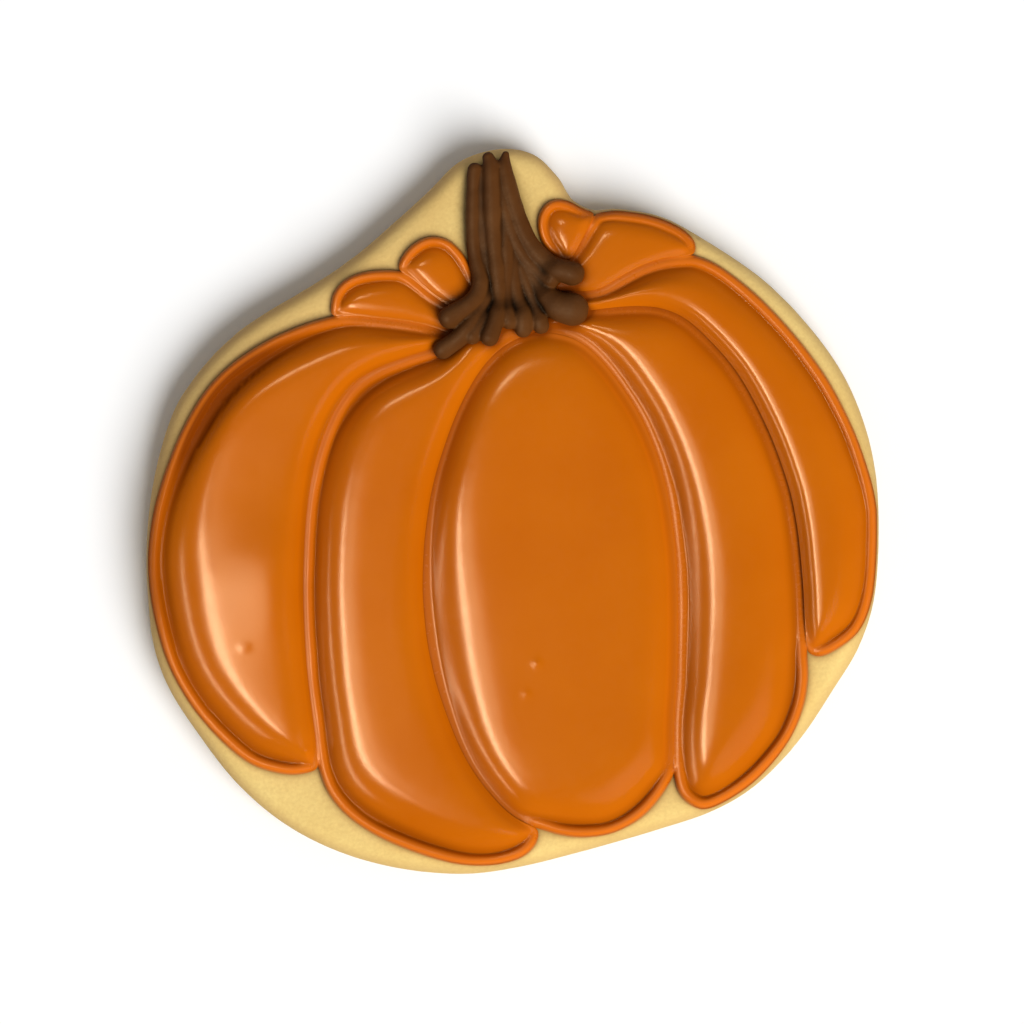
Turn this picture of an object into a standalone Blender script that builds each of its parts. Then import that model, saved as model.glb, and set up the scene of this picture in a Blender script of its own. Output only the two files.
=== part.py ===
# An iced pumpkin cookie: a cut biscuit, nine flooded sections of orange icing and a piped brown stem.
# The biscuit lies flat, +X to its right, +Y towards its stem and +Z up out of its iced face.
import math

import bpy
import numpy as np
from mathutils.geometry import delaunay_2d_cdt

# Driving dimensions, in millimetres
MM = 0.001
COOKIE_WIDTH = 90.0
BISCUIT_THICKNESS = 7.0
TOP_ROUND = 2.2
FOOT_ROUND = 0.9
SOFT_FALL = 0.35
SOFT_FALL_REACH = 4.0
GAP = 0.3
ICING_LIP = 0.3

# Every outline is drawn for a cookie of this width, about the middle of its width and length
DRAWN_WIDTH = 90.0
SCALE = COOKIE_WIDTH / DRAWN_WIDTH

# Piped bead round a section, and how much of its height stands at a free edge and at a seam
BEAD_WIDTH = 1.5
BEAD_HEIGHT = 1.0
BEAD_AT_FREE_EDGE = 0.5
BEAD_AT_SEAM = 0.88

# Flooded icing inside a bead and along a seam without one: the lowest height, where its shoulder starts and
# how wide the shoulder is. A power over 1 makes the shoulder start flat.
LOW_BY_BEAD, LOW_BY_SEAM = 0.2, 0.95
START_BY_BEAD, START_BY_SEAM = 1.4, 0.0
WIDTH_BY_BEAD, WIDTH_BY_SEAM = 2.1, 1.0
SHOULDER_POWER = 1.3

# Height of the flood, and the share of the bead and of the shoulder that a small section has
RIB_FLOOD = 2.45
LOBE_FLOOD = 1.3
LOBE_BEAD = 0.85
LOBE_SHOULDER = 0.5

# Piped strands of the stem
STRAND_FLAT = 0.55
FULL_ROUND = 1.25
WIDE_RISE = 0.35
STRAND_SIDES = 10
STRAND_STEP = 1.5
CAP_RINGS = (0.5, 0.85)
CONTACT_REACHES = (0.0, 0.35, 0.7, 1.0)
CONTACT_SPOKES = 12

# Spacing of the points that a surface is built on
RIM_STEP = 2.6
RIB_STEP = 2.3
LOBE_STEP = 1.5
FINE_STEP = 0.4
NEAREST = 0.16
CORNER_PASSES = 4
BEAD_FADE_PASSES = 50
RIM_DEPTHS = (0.12, 0.4, 0.85, 1.4, 2.2, 4.5)
FOOT_DEPTHS = (0.25, 0.9)
RIB_DEPTHS = (0.22, 0.75, 1.25, 1.65, 2.3, 3.1, 4.2, 5.6)
LOBE_DEPTHS = (0.2, 0.65, 1.1, 1.5, 2.2)
BASE_DEPTHS = (0.35, 0.9, 1.7, 2.8)
BASE_REACH = 3.2
BISCUIT_FILL = 9.0
RIB_FILL = 4.0
LOBE_FILL = 2.2
BASE_FILL = 12.0
RING_CLEARANCE = 0.96
RING_SPACING = 0.4
FILL_CLEARANCE = 0.55
SHARP_ANGLE = math.radians(40.0)

# How high a section is flooded, the size of its bead and shoulder, and how closely it is meshed
RIB_FORM = {"flood": RIB_FLOOD, "bead": 1.0, "shoulder": 1.0, "step": RIB_STEP, "depths": RIB_DEPTHS,
            "fill": RIB_FILL}
LOBE_FORM = {"flood": LOBE_FLOOD, "bead": LOBE_BEAD, "shoulder": LOBE_SHOULDER, "step": LOBE_STEP,
             "depths": LOBE_DEPTHS, "fill": LOBE_FILL}

RIM = (
    (-1.5, 44.5), (-6.4, 43.0), (-10.2, 39.4), (-13.8, 36.1), (-19.0, 31.6), (-24.0, 28.1), (-31.0, 23.9),
    (-35.3, 20.6), (-38.9, 16.6), (-41.6, 12.3), (-43.5, 6.5), (-44.6, 0.5), (-45.0, -5.5), (-44.8, -10.5),
    (-44.1, -16.5), (-42.2, -21.8), (-38.6, -27.4), (-34.0, -33.3), (-28.5, -38.1), (-22.0, -41.6),
    (-14.5, -43.8), (-6.4, -44.6), (0.5, -43.8), (8.3, -41.9), (17.0, -39.4), (24.5, -36.9), (30.0, -33.6),
    (35.2, -28.2), (39.5, -21.8), (42.5, -16.8), (44.4, -11.0), (45.0, -3.5), (44.7, 4.0), (43.3, 10.5),
    (40.5, 17.0), (36.0, 23.2), (30.3, 28.8), (23.0, 33.7), (18.1, 36.2), (13.2, 37.1), (9.9, 37.0),
    (7.2, 38.4), (5.4, 41.2), (2.6, 43.8),
)

# Free edges show biscuit beside them, and inner edges are hidden by the stem
EDGES = {
    "outer_1": ((-22.3, 23.8), (-26.0, 22.7), (-30.5, 20.6), (-34.5, 17.9), (-37.9, 14.3), (-40.8, 9.2),
                (-43.0, 3.5), (-44.3, -1.8), (-44.7, -7.0), (-44.0, -12.5), (-42.4, -18.2), (-39.8, -23.2),
                (-36.3, -27.5), (-32.2, -30.9), (-28.0, -32.2), (-25.4, -32.1), (-23.7, -31.6)),
    "outer_2": ((-23.7, -31.6), (-22.6, -34.5), (-20.4, -37.2), (-16.8, -39.7), (-12.0, -41.8), (-7.0, -43.2),
                (-2.5, -43.4), (1.0, -42.5), (2.9, -40.8), (3.3, -38.9)),
    "outer_3": ((3.3, -38.9), (6.0, -39.7), (9.0, -40.0), (12.5, -39.4), (15.8, -37.5), (18.2, -34.9),
                (19.8, -32.3)),
    "outer_4": ((19.8, -32.3), (20.3, -34.5), (21.7, -36.0), (23.7, -36.6), (27.0, -35.1), (30.5, -32.4),
                (33.7, -28.4), (35.6, -24.2), (36.2, -20.4), (36.0, -17.3)),
    "outer_5": ((36.0, -17.3), (37.4, -17.9), (39.6, -17.0), (42.4, -14.8), (44.0, -11.2), (44.8, -5.5),
                (44.7, 0.0), (43.5, 5.3), (41.3, 11.0), (38.0, 17.0), (34.0, 22.2), (29.5, 26.8),
                (25.2, 30.1), (22.3, 31.3)),
    "outer_b": ((22.3, 31.3), (22.5, 32.6), (21.6, 34.0), (19.0, 35.7), (16.0, 36.7), (13.0, 36.9),
                (10.2, 36.5)),
    "outer_a": ((10.2, 36.5), (8.3, 37.4), (6.2, 38.2), (4.4, 37.9), (3.3, 36.6), (3.0, 34.9), (3.4, 33.2),
                (4.4, 31.8), (6.4, 30.3)),
    "outer_c": ((-4.2, 27.0), (-4.9, 29.4), (-6.2, 31.7), (-8.0, 33.3), (-10.3, 33.6), (-12.4, 32.5),
                (-13.7, 30.9), (-14.1, 29.5)),
    "outer_d": ((-14.1, 29.5), (-17.3, 29.4), (-20.2, 28.5), (-22.0, 26.5), (-22.3, 23.8)),
    "seam_1d": ((-22.3, 23.8), (-19.5, 23.9), (-16.5, 23.6), (-13.0, 23.2), (-10.0, 22.6), (-7.0, 21.5)),
    "seam_cd": ((-14.1, 29.5), (-12.7, 28.8), (-11.2, 27.6), (-9.5, 26.2), (-7.0, 24.8), (-4.2, 24.4)),
    "seam_12": ((-7.0, 21.5), (-9.6, 20.0), (-13.0, 18.9), (-16.8, 17.4), (-19.7, 15.3), (-22.0, 11.8),
                (-23.9, 7.0), (-25.1, 1.0), (-25.6, -6.0), (-25.6, -13.0), (-25.1, -20.5), (-24.3, -26.8),
                (-23.7, -31.6)),
    "seam_23": ((3.2, 21.9), (1.0, 21.3), (-1.6, 19.8), (-4.0, 17.2), (-6.2, 13.4), (-8.2, 8.5), (-9.8, 3.0),
                (-10.8, -3.5), (-11.0, -10.5), (-10.2, -17.5), (-8.4, -24.2), (-5.6, -30.6), (-2.3, -35.2),
                (0.4, -37.6), (3.3, -38.9)),
    "seam_34": ((3.2, 21.9), (5.5, 21.6), (8.0, 20.8), (10.4, 18.9), (13.2, 15.4), (16.1, 10.6), (18.1, 5.5),
                (19.3, 0.0), (20.0, -6.0), (20.2, -13.0), (20.1, -20.0), (19.7, -26.5), (19.8, -32.3)),
    "seam_45": ((7.6, 24.3), (12.0, 24.9), (15.6, 25.1), (18.4, 24.8), (21.4, 23.4), (24.6, 20.5),
                (28.0, 16.2), (31.0, 10.6), (33.3, 4.8), (34.7, -1.0), (35.5, -8.0), (36.0, -17.3)),
    "seam_5b": ((4.8, 27.1), (7.6, 26.9), (10.6, 27.2), (13.2, 28.7), (15.8, 30.1), (18.6, 31.0),
                (22.3, 31.3)),
    "seam_ab": ((10.2, 36.5), (9.2, 34.7), (8.2, 32.8), (7.2, 31.0), (6.4, 30.3)),
    "inner_2": ((3.2, 21.9), (2.8, 23.4), (0.2, 24.0), (-2.4, 24.1), (-5.0, 23.2), (-7.0, 21.5)),
    "inner_4": ((7.6, 24.3), (5.6, 24.3), (3.9, 23.5), (3.2, 21.9)),
    "inner_5": ((4.8, 27.1), (5.3, 25.4), (7.6, 24.3)),
    "inner_b": ((6.4, 30.3), (5.1, 28.8), (4.8, 27.1)),
    "inner_c": ((-4.2, 24.4), (-3.8, 25.7), (-4.2, 27.0)),
    "inner_d": ((-7.0, 21.5), (-5.4, 22.9), (-4.2, 24.4)),
}

# Each section's edges in order, anticlockwise, with how much of a piped bead stands along each
FORWARD = 1
BACKWARD = -1
RIBS = {
    "rib_far_left": (("outer_1", FORWARD, 1.0), ("seam_12", BACKWARD, 0.0), ("seam_1d", BACKWARD, 0.7)),
    "rib_left": (("outer_2", FORWARD, 1.0), ("seam_23", BACKWARD, 0.0), ("inner_2", FORWARD, 0.0),
                 ("seam_12", FORWARD, 0.9)),
    "rib_centre": (("outer_3", FORWARD, 1.0), ("seam_34", BACKWARD, 0.4), ("seam_23", FORWARD, 0.5)),
    "rib_right": (("outer_4", FORWARD, 1.0), ("seam_45", BACKWARD, 0.6), ("inner_4", FORWARD, 0.0),
                  ("seam_34", FORWARD, 0.6)),
    "rib_far_right": (("outer_5", FORWARD, 0.9), ("seam_5b", BACKWARD, 0.8), ("inner_5", FORWARD, 0.0),
                      ("seam_45", FORWARD, 0.0)),
}
LOBES = {
    "lobe_back_right": (("outer_b", FORWARD, 0.9), ("seam_ab", FORWARD, 0.7), ("inner_b", FORWARD, 0.0),
                        ("seam_5b", FORWARD, 0.0)),
    "lobe_small_right": (("outer_a", FORWARD, 0.9), ("seam_ab", BACKWARD, 0.0)),
    "lobe_small_left": (("outer_c", FORWARD, 1.0), ("seam_cd", FORWARD, 0.2), ("inner_c", FORWARD, 0.0)),
    "lobe_back_left": (("outer_d", FORWARD, 1.0), ("seam_1d", FORWARD, 0.2), ("inner_d", FORWARD, 0.0),
                       ("seam_cd", BACKWARD, 0.8)),
}

# Where the flood was shy of the bead: x, y, radius, how much further in it starts and how much wider its
# shoulder is there
SHY = {
    "rib_far_left": ((-36.0, 14.0, 12.0, 1.25, -0.5), (-44.0, -9.0, 11.0, 0.45, 0.25),
                     (-35.0, -27.0, 8.0, 0.1, 0.15)),
    "rib_left": ((-18.0, 15.0, 6.0, 0.6, -0.2), (-16.0, -38.0, 9.0, 0.4, 0.1)),
    "rib_centre": ((-9.0, -15.0, 13.0, 0.5, 0.8),),
    "rib_right": ((22.0, -10.0, 14.0, 0.5, 0.35),),
}

# Where the flood swells: x, y, radius and height
SWELLS = {"rib_far_left": ((-29.0, -6.0, 6.0, 0.55), (-29.5, -13.0, 6.0, 0.35))}

# All the icing thins out towards the stem's foot: x, y, radius and the share that is missing
THIN_BY_STEM = (0.8, 24.8, 8.0, 0.5)

# The stem's strands from its tip down: x, y and half the strand's width at each point, then its lift
STRANDS = (
    (((-4.6, 41.7, 0.95), (-4.75, 38.0, 1.0), (-4.75, 33.5, 1.0), (-4.4, 30.6, 1.0), (-3.9, 28.3, 1.05),
      (-4.3, 26.3, 1.15), (-5.7, 24.8, 1.3), (-7.7, 23.6, 1.4)), 0.1),
    (((-2.95, 43.2, 0.75), (-2.65, 42.0, 1.0), (-2.55, 39.0, 1.15), (-2.4, 35.0, 1.15), (-2.2, 32.0, 1.1),
      (-1.85, 29.0, 1.1), (-1.6, 26.0, 1.05), (-1.9, 23.8, 1.05), (-2.8, 21.2, 1.15)), 0.45),
    (((-3.6, 41.0, 0.95), (-3.6, 36.0, 1.0), (-3.3, 31.0, 1.0), (-2.9, 28.2, 1.0), (-3.4, 25.8, 1.05),
      (-4.6, 23.4, 1.1), (-6.3, 21.3, 1.15), (-8.5, 19.7, 1.2)), 0.0),
    (((-2.4, 27.5, 0.8), (-2.8, 25.0, 0.9), (-3.7, 22.8, 0.95), (-4.9, 21.3, 1.0)), 0.0),
    (((-0.9, 35.5, 0.95), (-0.7, 31.0, 1.1), (-0.8, 27.5, 1.05), (-0.7, 25.0, 1.0),
      (-0.4, 23.1, 0.95)), 0.15),
    (((0.2, 31.5, 0.9), (0.2, 28.5, 1.05), (0.6, 26.0, 1.1), (1.25, 24.0, 1.15), (1.3, 22.2, 1.05)), 0.0),
    (((1.0, 29.8, 0.8), (1.7, 28.0, 0.9), (2.4, 26.2, 0.95), (3.0, 24.4, 1.05), (3.5, 22.6, 1.0)), 0.25),
    (((0.6, 32.0, 0.9), (1.7, 29.8, 1.0), (3.0, 27.9, 1.15), (4.4, 26.1, 1.45), (5.8, 25.0, 1.85),
      (7.3, 24.6, 2.05)), 0.0),
    (((-0.85, 43.6, 0.5), (-1.0, 42.3, 0.9), (-0.8, 41.0, 1.0), (-0.1, 38.2, 1.1), (0.8, 35.4, 1.15),
      (1.8, 33.2, 1.15), (3.2, 31.3, 1.2), (5.1, 29.7, 1.35), (7.3, 29.0, 1.55)), 0.2),
    (((-1.7, 42.0, 0.9), (-1.3, 38.8, 1.1), (-0.5, 35.5, 1.15), (0.5, 32.8, 1.15), (1.7, 30.8, 1.1),
      (3.3, 29.2, 1.15), (4.7, 28.3, 1.1)), 0.0),
)


def smooth_line(points, closed=False, steps=12):
    # A Catmull-Rom curve through the points, as an array with a row for each step
    points = np.array(points, float)
    count = len(points)
    t = (np.arange(steps) / steps)[:, None]
    rows = []
    for i in range(count if closed else count - 1):
        if closed:
            a, b, c, d = (points[(i + k) % count] for k in (-1, 0, 1, 2))
        else:
            a, b, c, d = (points[min(max(i + k, 0), count - 1)] for k in (-1, 0, 1, 2))
        bend = (2 * a - 5 * b + 4 * c - d) * t ** 2 + (3 * b - a - 3 * c + d) * t ** 3
        rows.append(0.5 * (2 * b + (c - a) * t + bend))
    if not closed:
        rows.append(points[-1:])
    return np.vstack(rows)


def even_steps(line, step, closed=False):
    # The same line with its points one step apart, rounded to a whole number of steps
    if closed:
        line = np.vstack((line, line[:1]))
    length = np.concatenate(([0.0], np.cumsum(np.linalg.norm(np.diff(line[:, :2], axis=0), axis=1))))
    count = max(2, round(length[-1] / step))
    places = np.linspace(0.0, length[-1], count + 1)
    if closed:
        places = places[:-1]
    return np.column_stack([np.interp(places, length, column) for column in line.T])


def inward(outline):
    # Unit vectors that point into an anticlockwise outline
    along = np.roll(outline[:, :2], -1, axis=0) - np.roll(outline[:, :2], 1, axis=0)
    along /= np.linalg.norm(along, axis=1)[:, None]
    return np.column_stack((-along[:, 1], along[:, 0]))


def signed_depth(points, outline):
    # How far each point lies inside a closed outline, less than zero outside it, and the nearest corner
    start = outline[:, :2]
    side = np.roll(start, -1, axis=0) - start
    offset = points[:, None, :2] - start[None]
    share = np.clip((offset * side).sum(2) / (side ** 2).sum(1), 0.0, 1.0)
    away = np.linalg.norm(offset - share[..., None] * side, axis=2)
    end = start + side
    x, y = points[:, None, 0], points[:, None, 1]
    spans = (start[:, 1] > y) != (end[:, 1] > y)
    level = np.where(side[:, 1] == 0.0, 1.0, side[:, 1])
    crossings = spans & (x < start[:, 0] + (y - start[:, 1]) * side[:, 0] / level)
    inside = crossings.sum(1) % 2 == 1
    return np.where(inside, 1.0, -1.0) * away.min(1), away.argmin(1)


def biscuit_top(depth):
    # Height of the biscuit's upper face at a depth inside its rim
    into_round = np.clip(TOP_ROUND - depth, 0.0, TOP_ROUND)
    rounding = TOP_ROUND - np.sqrt(TOP_ROUND ** 2 - into_round ** 2)
    return BISCUIT_THICKNESS - rounding - SOFT_FALL * np.exp(-np.maximum(depth, 0.0) / SOFT_FALL_REACH)


def biscuit_foot(depth):
    # Height of the biscuit's lower face, flat but for its rounded lower edge
    into_round = np.clip(FOOT_ROUND - depth, 0.0, FOOT_ROUND)
    return FOOT_ROUND - np.sqrt(FOOT_ROUND ** 2 - into_round ** 2)


def section_outline(edges, rim):
    # A section's closed outline, its corners rounded and a gap kept round it, with two columns more:
    # its bead's strength, which runs out softly from edge to edge, and 1 where another section lies beside it
    rows = []
    for name, direction, bead in edges:
        line = smooth_line(EDGES[name])[::direction] * SCALE
        seam = float(name.startswith("seam"))
        count = len(line) - 1
        rows.append(np.column_stack((line[:-1], np.full(count, bead), np.full(count, seam))))
    outline = even_steps(np.vstack(rows), FINE_STEP, closed=True)
    for _ in range(CORNER_PASSES):
        outline = (np.roll(outline, 1, axis=0) + 2 * outline + np.roll(outline, -1, axis=0)) / 4
    for _ in range(BEAD_FADE_PASSES):
        outline[:, 2] = (np.roll(outline[:, 2], 1) + 2 * outline[:, 2] + np.roll(outline[:, 2], -1)) / 4
    outline[:, :2] += inward(outline) * GAP / 2
    rim_inward = inward(rim)
    depth, nearest = signed_depth(outline, rim)
    outline[:, :2] += rim_inward[nearest] * np.clip(ICING_LIP - depth, 0.0, None)[:, None]
    return outline


def soft_depth(points, outline):
    # Depth inside the outline, without a crease where two edges are equally near, and the share of bead near by
    square = ((points[:, None, :2] - outline[None, :, :2]) ** 2).sum(2)
    weight = 1.0 / (square + NEAREST ** 2) ** 2
    total = weight.sum(1)
    depth = (total * FINE_STEP * 2.0 / math.pi) ** (-1.0 / 3.0)
    return depth, np.clip(weight @ outline[:, 2] / total, 0.0, 1.0)


def blend(low, high, share):
    return low + (high - low) * share


def icing_thickness(points, section):
    # A round bead along the edge and a flooded cushion inside it
    outline = section["outline"]
    depth, nearest = signed_depth(points, outline)
    bead_share, seam = outline[nearest, 2], outline[nearest, 3]
    across = np.clip(depth / (BEAD_WIDTH * section["bead"]), 0.0, 1.0) * 2.0 - 1.0
    arch = np.sqrt(1.0 - across ** 2)
    arch = np.where(across < 0.0, np.maximum(arch, blend(BEAD_AT_FREE_EDGE, BEAD_AT_SEAM, seam)), arch)
    bead = BEAD_HEIGHT * section["bead"] * bead_share * arch

    inside, beaded = soft_depth(points, outline)
    low = blend(LOW_BY_SEAM, LOW_BY_BEAD, beaded)
    start = blend(START_BY_SEAM, START_BY_BEAD, beaded) * section["bead"]
    width = blend(WIDTH_BY_SEAM, WIDTH_BY_BEAD, beaded) * section["shoulder"]
    for x, y, radius, further, wider in section["shy"]:
        near = np.exp(-((points[:, 0] - x) ** 2 + (points[:, 1] - y) ** 2) / radius ** 2)
        start += further * near
        width *= 1.0 + wider * near
    flood = 1.0 - np.exp(-(np.maximum(inside - start, 0.0) / width) ** SHOULDER_POWER)
    cushion = low + (section["flood"] - low) * flood
    for x, y, radius, height in section["swells"]:
        square = (points[:, 0] - x) ** 2 + (points[:, 1] - y) ** 2
        cushion += height * flood * np.exp(-square / radius ** 2)
    x, y, radius, missing = THIN_BY_STEM
    square = (points[:, 0] - x) ** 2 + (points[:, 1] - y) ** 2
    return np.maximum(bead, cushion) * (1.0 - missing * np.exp(-square / radius ** 2))


def icing_top(points, section, rim):
    depth = signed_depth(points, rim)[0]
    return biscuit_top(depth) + GAP + icing_thickness(points, section)


def icing_base(points, rim):
    # Clear of the biscuit by the gap
    depth = signed_depth(points, rim)[0]
    return biscuit_top(depth) + GAP


def spread_points(outline, depths, fill, wanted=None):
    # Points for a surface: the outline, lines at set depths inside it, and an even fill
    points = [outline[:, :2]]
    edges = [(i, (i + 1) % len(outline)) for i in range(len(outline))]
    used = len(outline)
    normals = inward(outline)
    step = np.linalg.norm(outline[1, :2] - outline[0, :2])
    for depth in depths:
        ring = outline[:, :2] + normals * depth
        keep = signed_depth(ring, outline)[0] > depth * RING_CLEARANCE
        if wanted is not None:
            keep &= wanted(ring)
        last = None
        first_in_run = True
        for i in np.flatnonzero(keep):
            if last is not None and np.linalg.norm(ring[i] - ring[last]) < step * RING_SPACING:
                continue
            points.append(ring[i:i + 1])
            if not first_in_run and i - last <= 2:
                edges.append((used - 1, used))
            last, first_in_run = i, False
            used += 1
    low, high = outline[:, :2].min(0), outline[:, :2].max(0)
    rows = np.arange(low[1] + fill / 2, high[1], fill * math.sqrt(3) / 2)
    for k, y in enumerate(rows):
        x = np.arange(low[0] + fill / 2 * (k % 2), high[0], fill)
        row = np.column_stack((x, np.full(len(x), y)))
        points.append(row[signed_depth(row, outline)[0] > max(depths) + fill * FILL_CLEARANCE])
    return np.vstack(points), edges


def triangles(points, edges, outline_count):
    # A triangulated sheet inside the outline, and where each outline point went
    corners, _, faces, origins, _, _ = delaunay_2d_cdt([tuple(p) for p in points], edges, [], 1, 1e-5)
    sheet = np.array([tuple(c) for c in corners])
    place = {}
    for new, olds in enumerate(origins):
        for old in olds:
            place[old] = new
    turned = []
    for a, b, c in faces:
        area = np.cross(sheet[b] - sheet[a], sheet[c] - sheet[a])
        turned.append((a, b, c) if area > 0 else (a, c, b))
    return sheet, turned, [place[i] for i in range(outline_count)]


def sheet_solid(name, outline, top, base, material):
    # A closed body between an upper and a lower surface over one outline
    upper, upper_faces, upper_edge = triangles(*top["spread"], len(outline))
    lower, lower_faces, lower_edge = triangles(*base["spread"], len(outline))
    start = len(upper)
    corners = np.vstack((np.column_stack((upper, top["height"](upper))),
                         np.column_stack((lower, base["height"](lower)))))
    faces = list(upper_faces) + [(start + a, start + c, start + b) for a, b, c in lower_faces]
    for i in range(len(outline)):
        j = (i + 1) % len(outline)
        faces.append((start + lower_edge[i], start + lower_edge[j], upper_edge[j], upper_edge[i]))
    return mesh_object(name, corners, faces, material)


def mesh_object(name, corners, faces, material):
    mesh = bpy.data.meshes.new(name)
    mesh.from_pydata([tuple(c) for c in corners * MM], [], faces)
    return finished_object(name, mesh, material)


def finished_object(name, mesh, material):
    # Put the mesh in the scene under its name, in one material and shaded smooth up to its sharp edges
    mesh.materials.clear()
    mesh.materials.append(material)
    mesh.shade_smooth()
    mesh.set_sharp_from_angle(angle=SHARP_ANGLE)
    thing = bpy.data.objects.new(name, mesh)
    bpy.context.scene.collection.objects.link(thing)
    return thing


def plain_material(name, colour, roughness):
    material = bpy.data.materials.new(name)
    material.use_nodes = True
    shader = material.node_tree.nodes["Principled BSDF"]
    shader.inputs["Base Color"].default_value = (*colour, 1.0)
    shader.inputs["Roughness"].default_value = roughness
    shader.inputs["Metallic"].default_value = 0.0
    return material


def make_biscuit(rim, material):
    outline = even_steps(rim, RIM_STEP, closed=True)
    top = {"spread": spread_points(outline, RIM_DEPTHS, BISCUIT_FILL),
           "height": lambda points: biscuit_top(signed_depth(points, outline)[0])}
    base = {"spread": spread_points(outline, FOOT_DEPTHS, BISCUIT_FILL),
            "height": lambda points: biscuit_foot(signed_depth(points, outline)[0])}
    return sheet_solid("biscuit", outline, top, base, material)


def make_section(name, section, rim, material):
    outline = even_steps(section["outline"], section["step"], closed=True)
    top = {"spread": spread_points(outline, section["depths"], section["fill"]),
           "height": lambda points: icing_top(points, section, rim)}
    base = {"spread": spread_points(outline, BASE_DEPTHS, BASE_FILL,
                                    lambda ring: signed_depth(ring, rim)[0] < BASE_REACH),
            "height": lambda points: icing_base(points, rim)}
    return sheet_solid(name, outline, top, base, material)


def ground(points, sections, rim):
    # Height of whatever lies under each point: the biscuit or the icing on it
    level = biscuit_top(signed_depth(points, rim)[0])
    for section in sections.values():
        over = signed_depth(points, section["outline"])[0] > -GAP
        if over.any():
            level[over] = np.maximum(level[over], icing_top(points[over], section, rim))
    return level


def strand_rise(radius):
    # Half the height of a strand that spreads sideways once it is wider than a full round
    return np.minimum(radius, FULL_ROUND) + WIDE_RISE * np.maximum(radius - FULL_ROUND, 0.0)


def strand_heights(path, lift, sections, rim):
    # Height of the strand's middle, as a strand flattened underneath settles on what it crosses
    angles = np.linspace(0.0, 2.0 * math.pi, CONTACT_SPOKES, endpoint=False)
    spokes = np.column_stack((np.cos(angles), np.sin(angles)))
    heights = np.full(len(path), -1.0)
    for reach in CONTACT_REACHES:
        drop = min(math.sqrt(1.0 - reach ** 2), STRAND_FLAT)
        for spoke in spokes:
            under = path[:, :2] + spoke * path[:, 2:3] * reach
            heights = np.maximum(heights, ground(under, sections, rim) + drop * strand_rise(path[:, 2]))
    padded = np.pad(heights, 1, mode="edge")
    heights = np.maximum(heights, (padded[:-2] + padded[2:]) / 2)
    return heights + GAP + lift


def make_strand(name, strand, sections, rim, material):
    # A tube along the strand's path, flattened underneath and rounded at both ends
    points, lift = strand
    path = even_steps(smooth_line(points) * SCALE, STRAND_STEP)
    heights = strand_heights(path, lift, sections, rim)
    along = np.gradient(path[:, :2], axis=0)
    along /= np.linalg.norm(along, axis=1)[:, None]
    rings = [(path[i, :2], along[i], heights[i], path[i, 2]) for i in range(len(path))]
    for end, way in ((0, -1.0), (-1, 1.0)):
        cap = []
        for share in CAP_RINGS:
            place = path[end, :2] + along[end] * way * share * path[end, 2]
            cap.append((place, along[end], heights[end], path[end, 2] * math.sqrt(1.0 - share ** 2)))
        rings = cap[::-1] + rings if way < 0 else rings + cap
    corners = []
    for place, ahead, height, radius in rings:
        across = np.array((-ahead[1], ahead[0]))
        for k in range(STRAND_SIDES):
            angle = 2.0 * math.pi * (k + 0.5) / STRAND_SIDES
            rise = max(math.sin(angle), -STRAND_FLAT) * strand_rise(radius)
            corners.append((*(place + across * math.cos(angle) * radius), height + rise))
    faces = [tuple(range(STRAND_SIDES))]
    for r in range(len(rings) - 1):
        for k in range(STRAND_SIDES):
            a, b = r * STRAND_SIDES + k, r * STRAND_SIDES + (k + 1) % STRAND_SIDES
            faces.append((a, a + STRAND_SIDES, b + STRAND_SIDES, b))
    last = (len(rings) - 1) * STRAND_SIDES
    faces.append(tuple(last + k for k in reversed(range(STRAND_SIDES))))
    return mesh_object(name, np.array(corners), [face[::-1] for face in faces], material)


def make_stem(sections, rim, material):
    # The strands are fused into one body
    strands = []
    for i, strand in enumerate(STRANDS):
        strands.append(make_strand(f"strand_{i}", strand, sections, rim, material))
    group = bpy.data.collections.new("strands")
    for strand in strands[1:]:
        group.objects.link(strand)
    union = strands[0].modifiers.new("fuse", "BOOLEAN")
    union.operation = "UNION"
    union.operand_type = "COLLECTION"
    union.collection = group
    bpy.context.view_layer.update()
    fused = strands[0].evaluated_get(bpy.context.evaluated_depsgraph_get())
    mesh = bpy.data.meshes.new_from_object(fused)
    for strand in strands:
        bpy.data.objects.remove(strand)
    bpy.data.collections.remove(group)
    return finished_object("stem", mesh, material)


def main():
    for thing in list(bpy.data.objects):
        bpy.data.objects.remove(thing)
    cream = plain_material("baked biscuit", (0.72, 0.52, 0.22), 0.85)
    orange = plain_material("orange icing", (0.56, 0.14, 0.005), 0.3)
    brown = plain_material("brown icing", (0.085, 0.038, 0.018), 0.4)

    rim = even_steps(smooth_line(RIM, closed=True) * SCALE, FINE_STEP, closed=True)
    sections = {}
    for shapes, form in ((RIBS, RIB_FORM), (LOBES, LOBE_FORM)):
        for name, edges in shapes.items():
            sections[name] = {"outline": section_outline(edges, rim), "shy": SHY.get(name, ()),
                              "swells": SWELLS.get(name, ()), **form}

    make_biscuit(rim, cream)
    for name, section in sections.items():
        make_section(name, section, rim, orange)
    make_stem(sections, rim, brown)


main()
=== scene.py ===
# Iced pumpkin cookie: the looks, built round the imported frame. Shapes are worked out in millimetres.
import math

import bpy
import numpy as np
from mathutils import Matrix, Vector, noise
from mathutils.geometry import delaunay_2d_cdt


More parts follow.
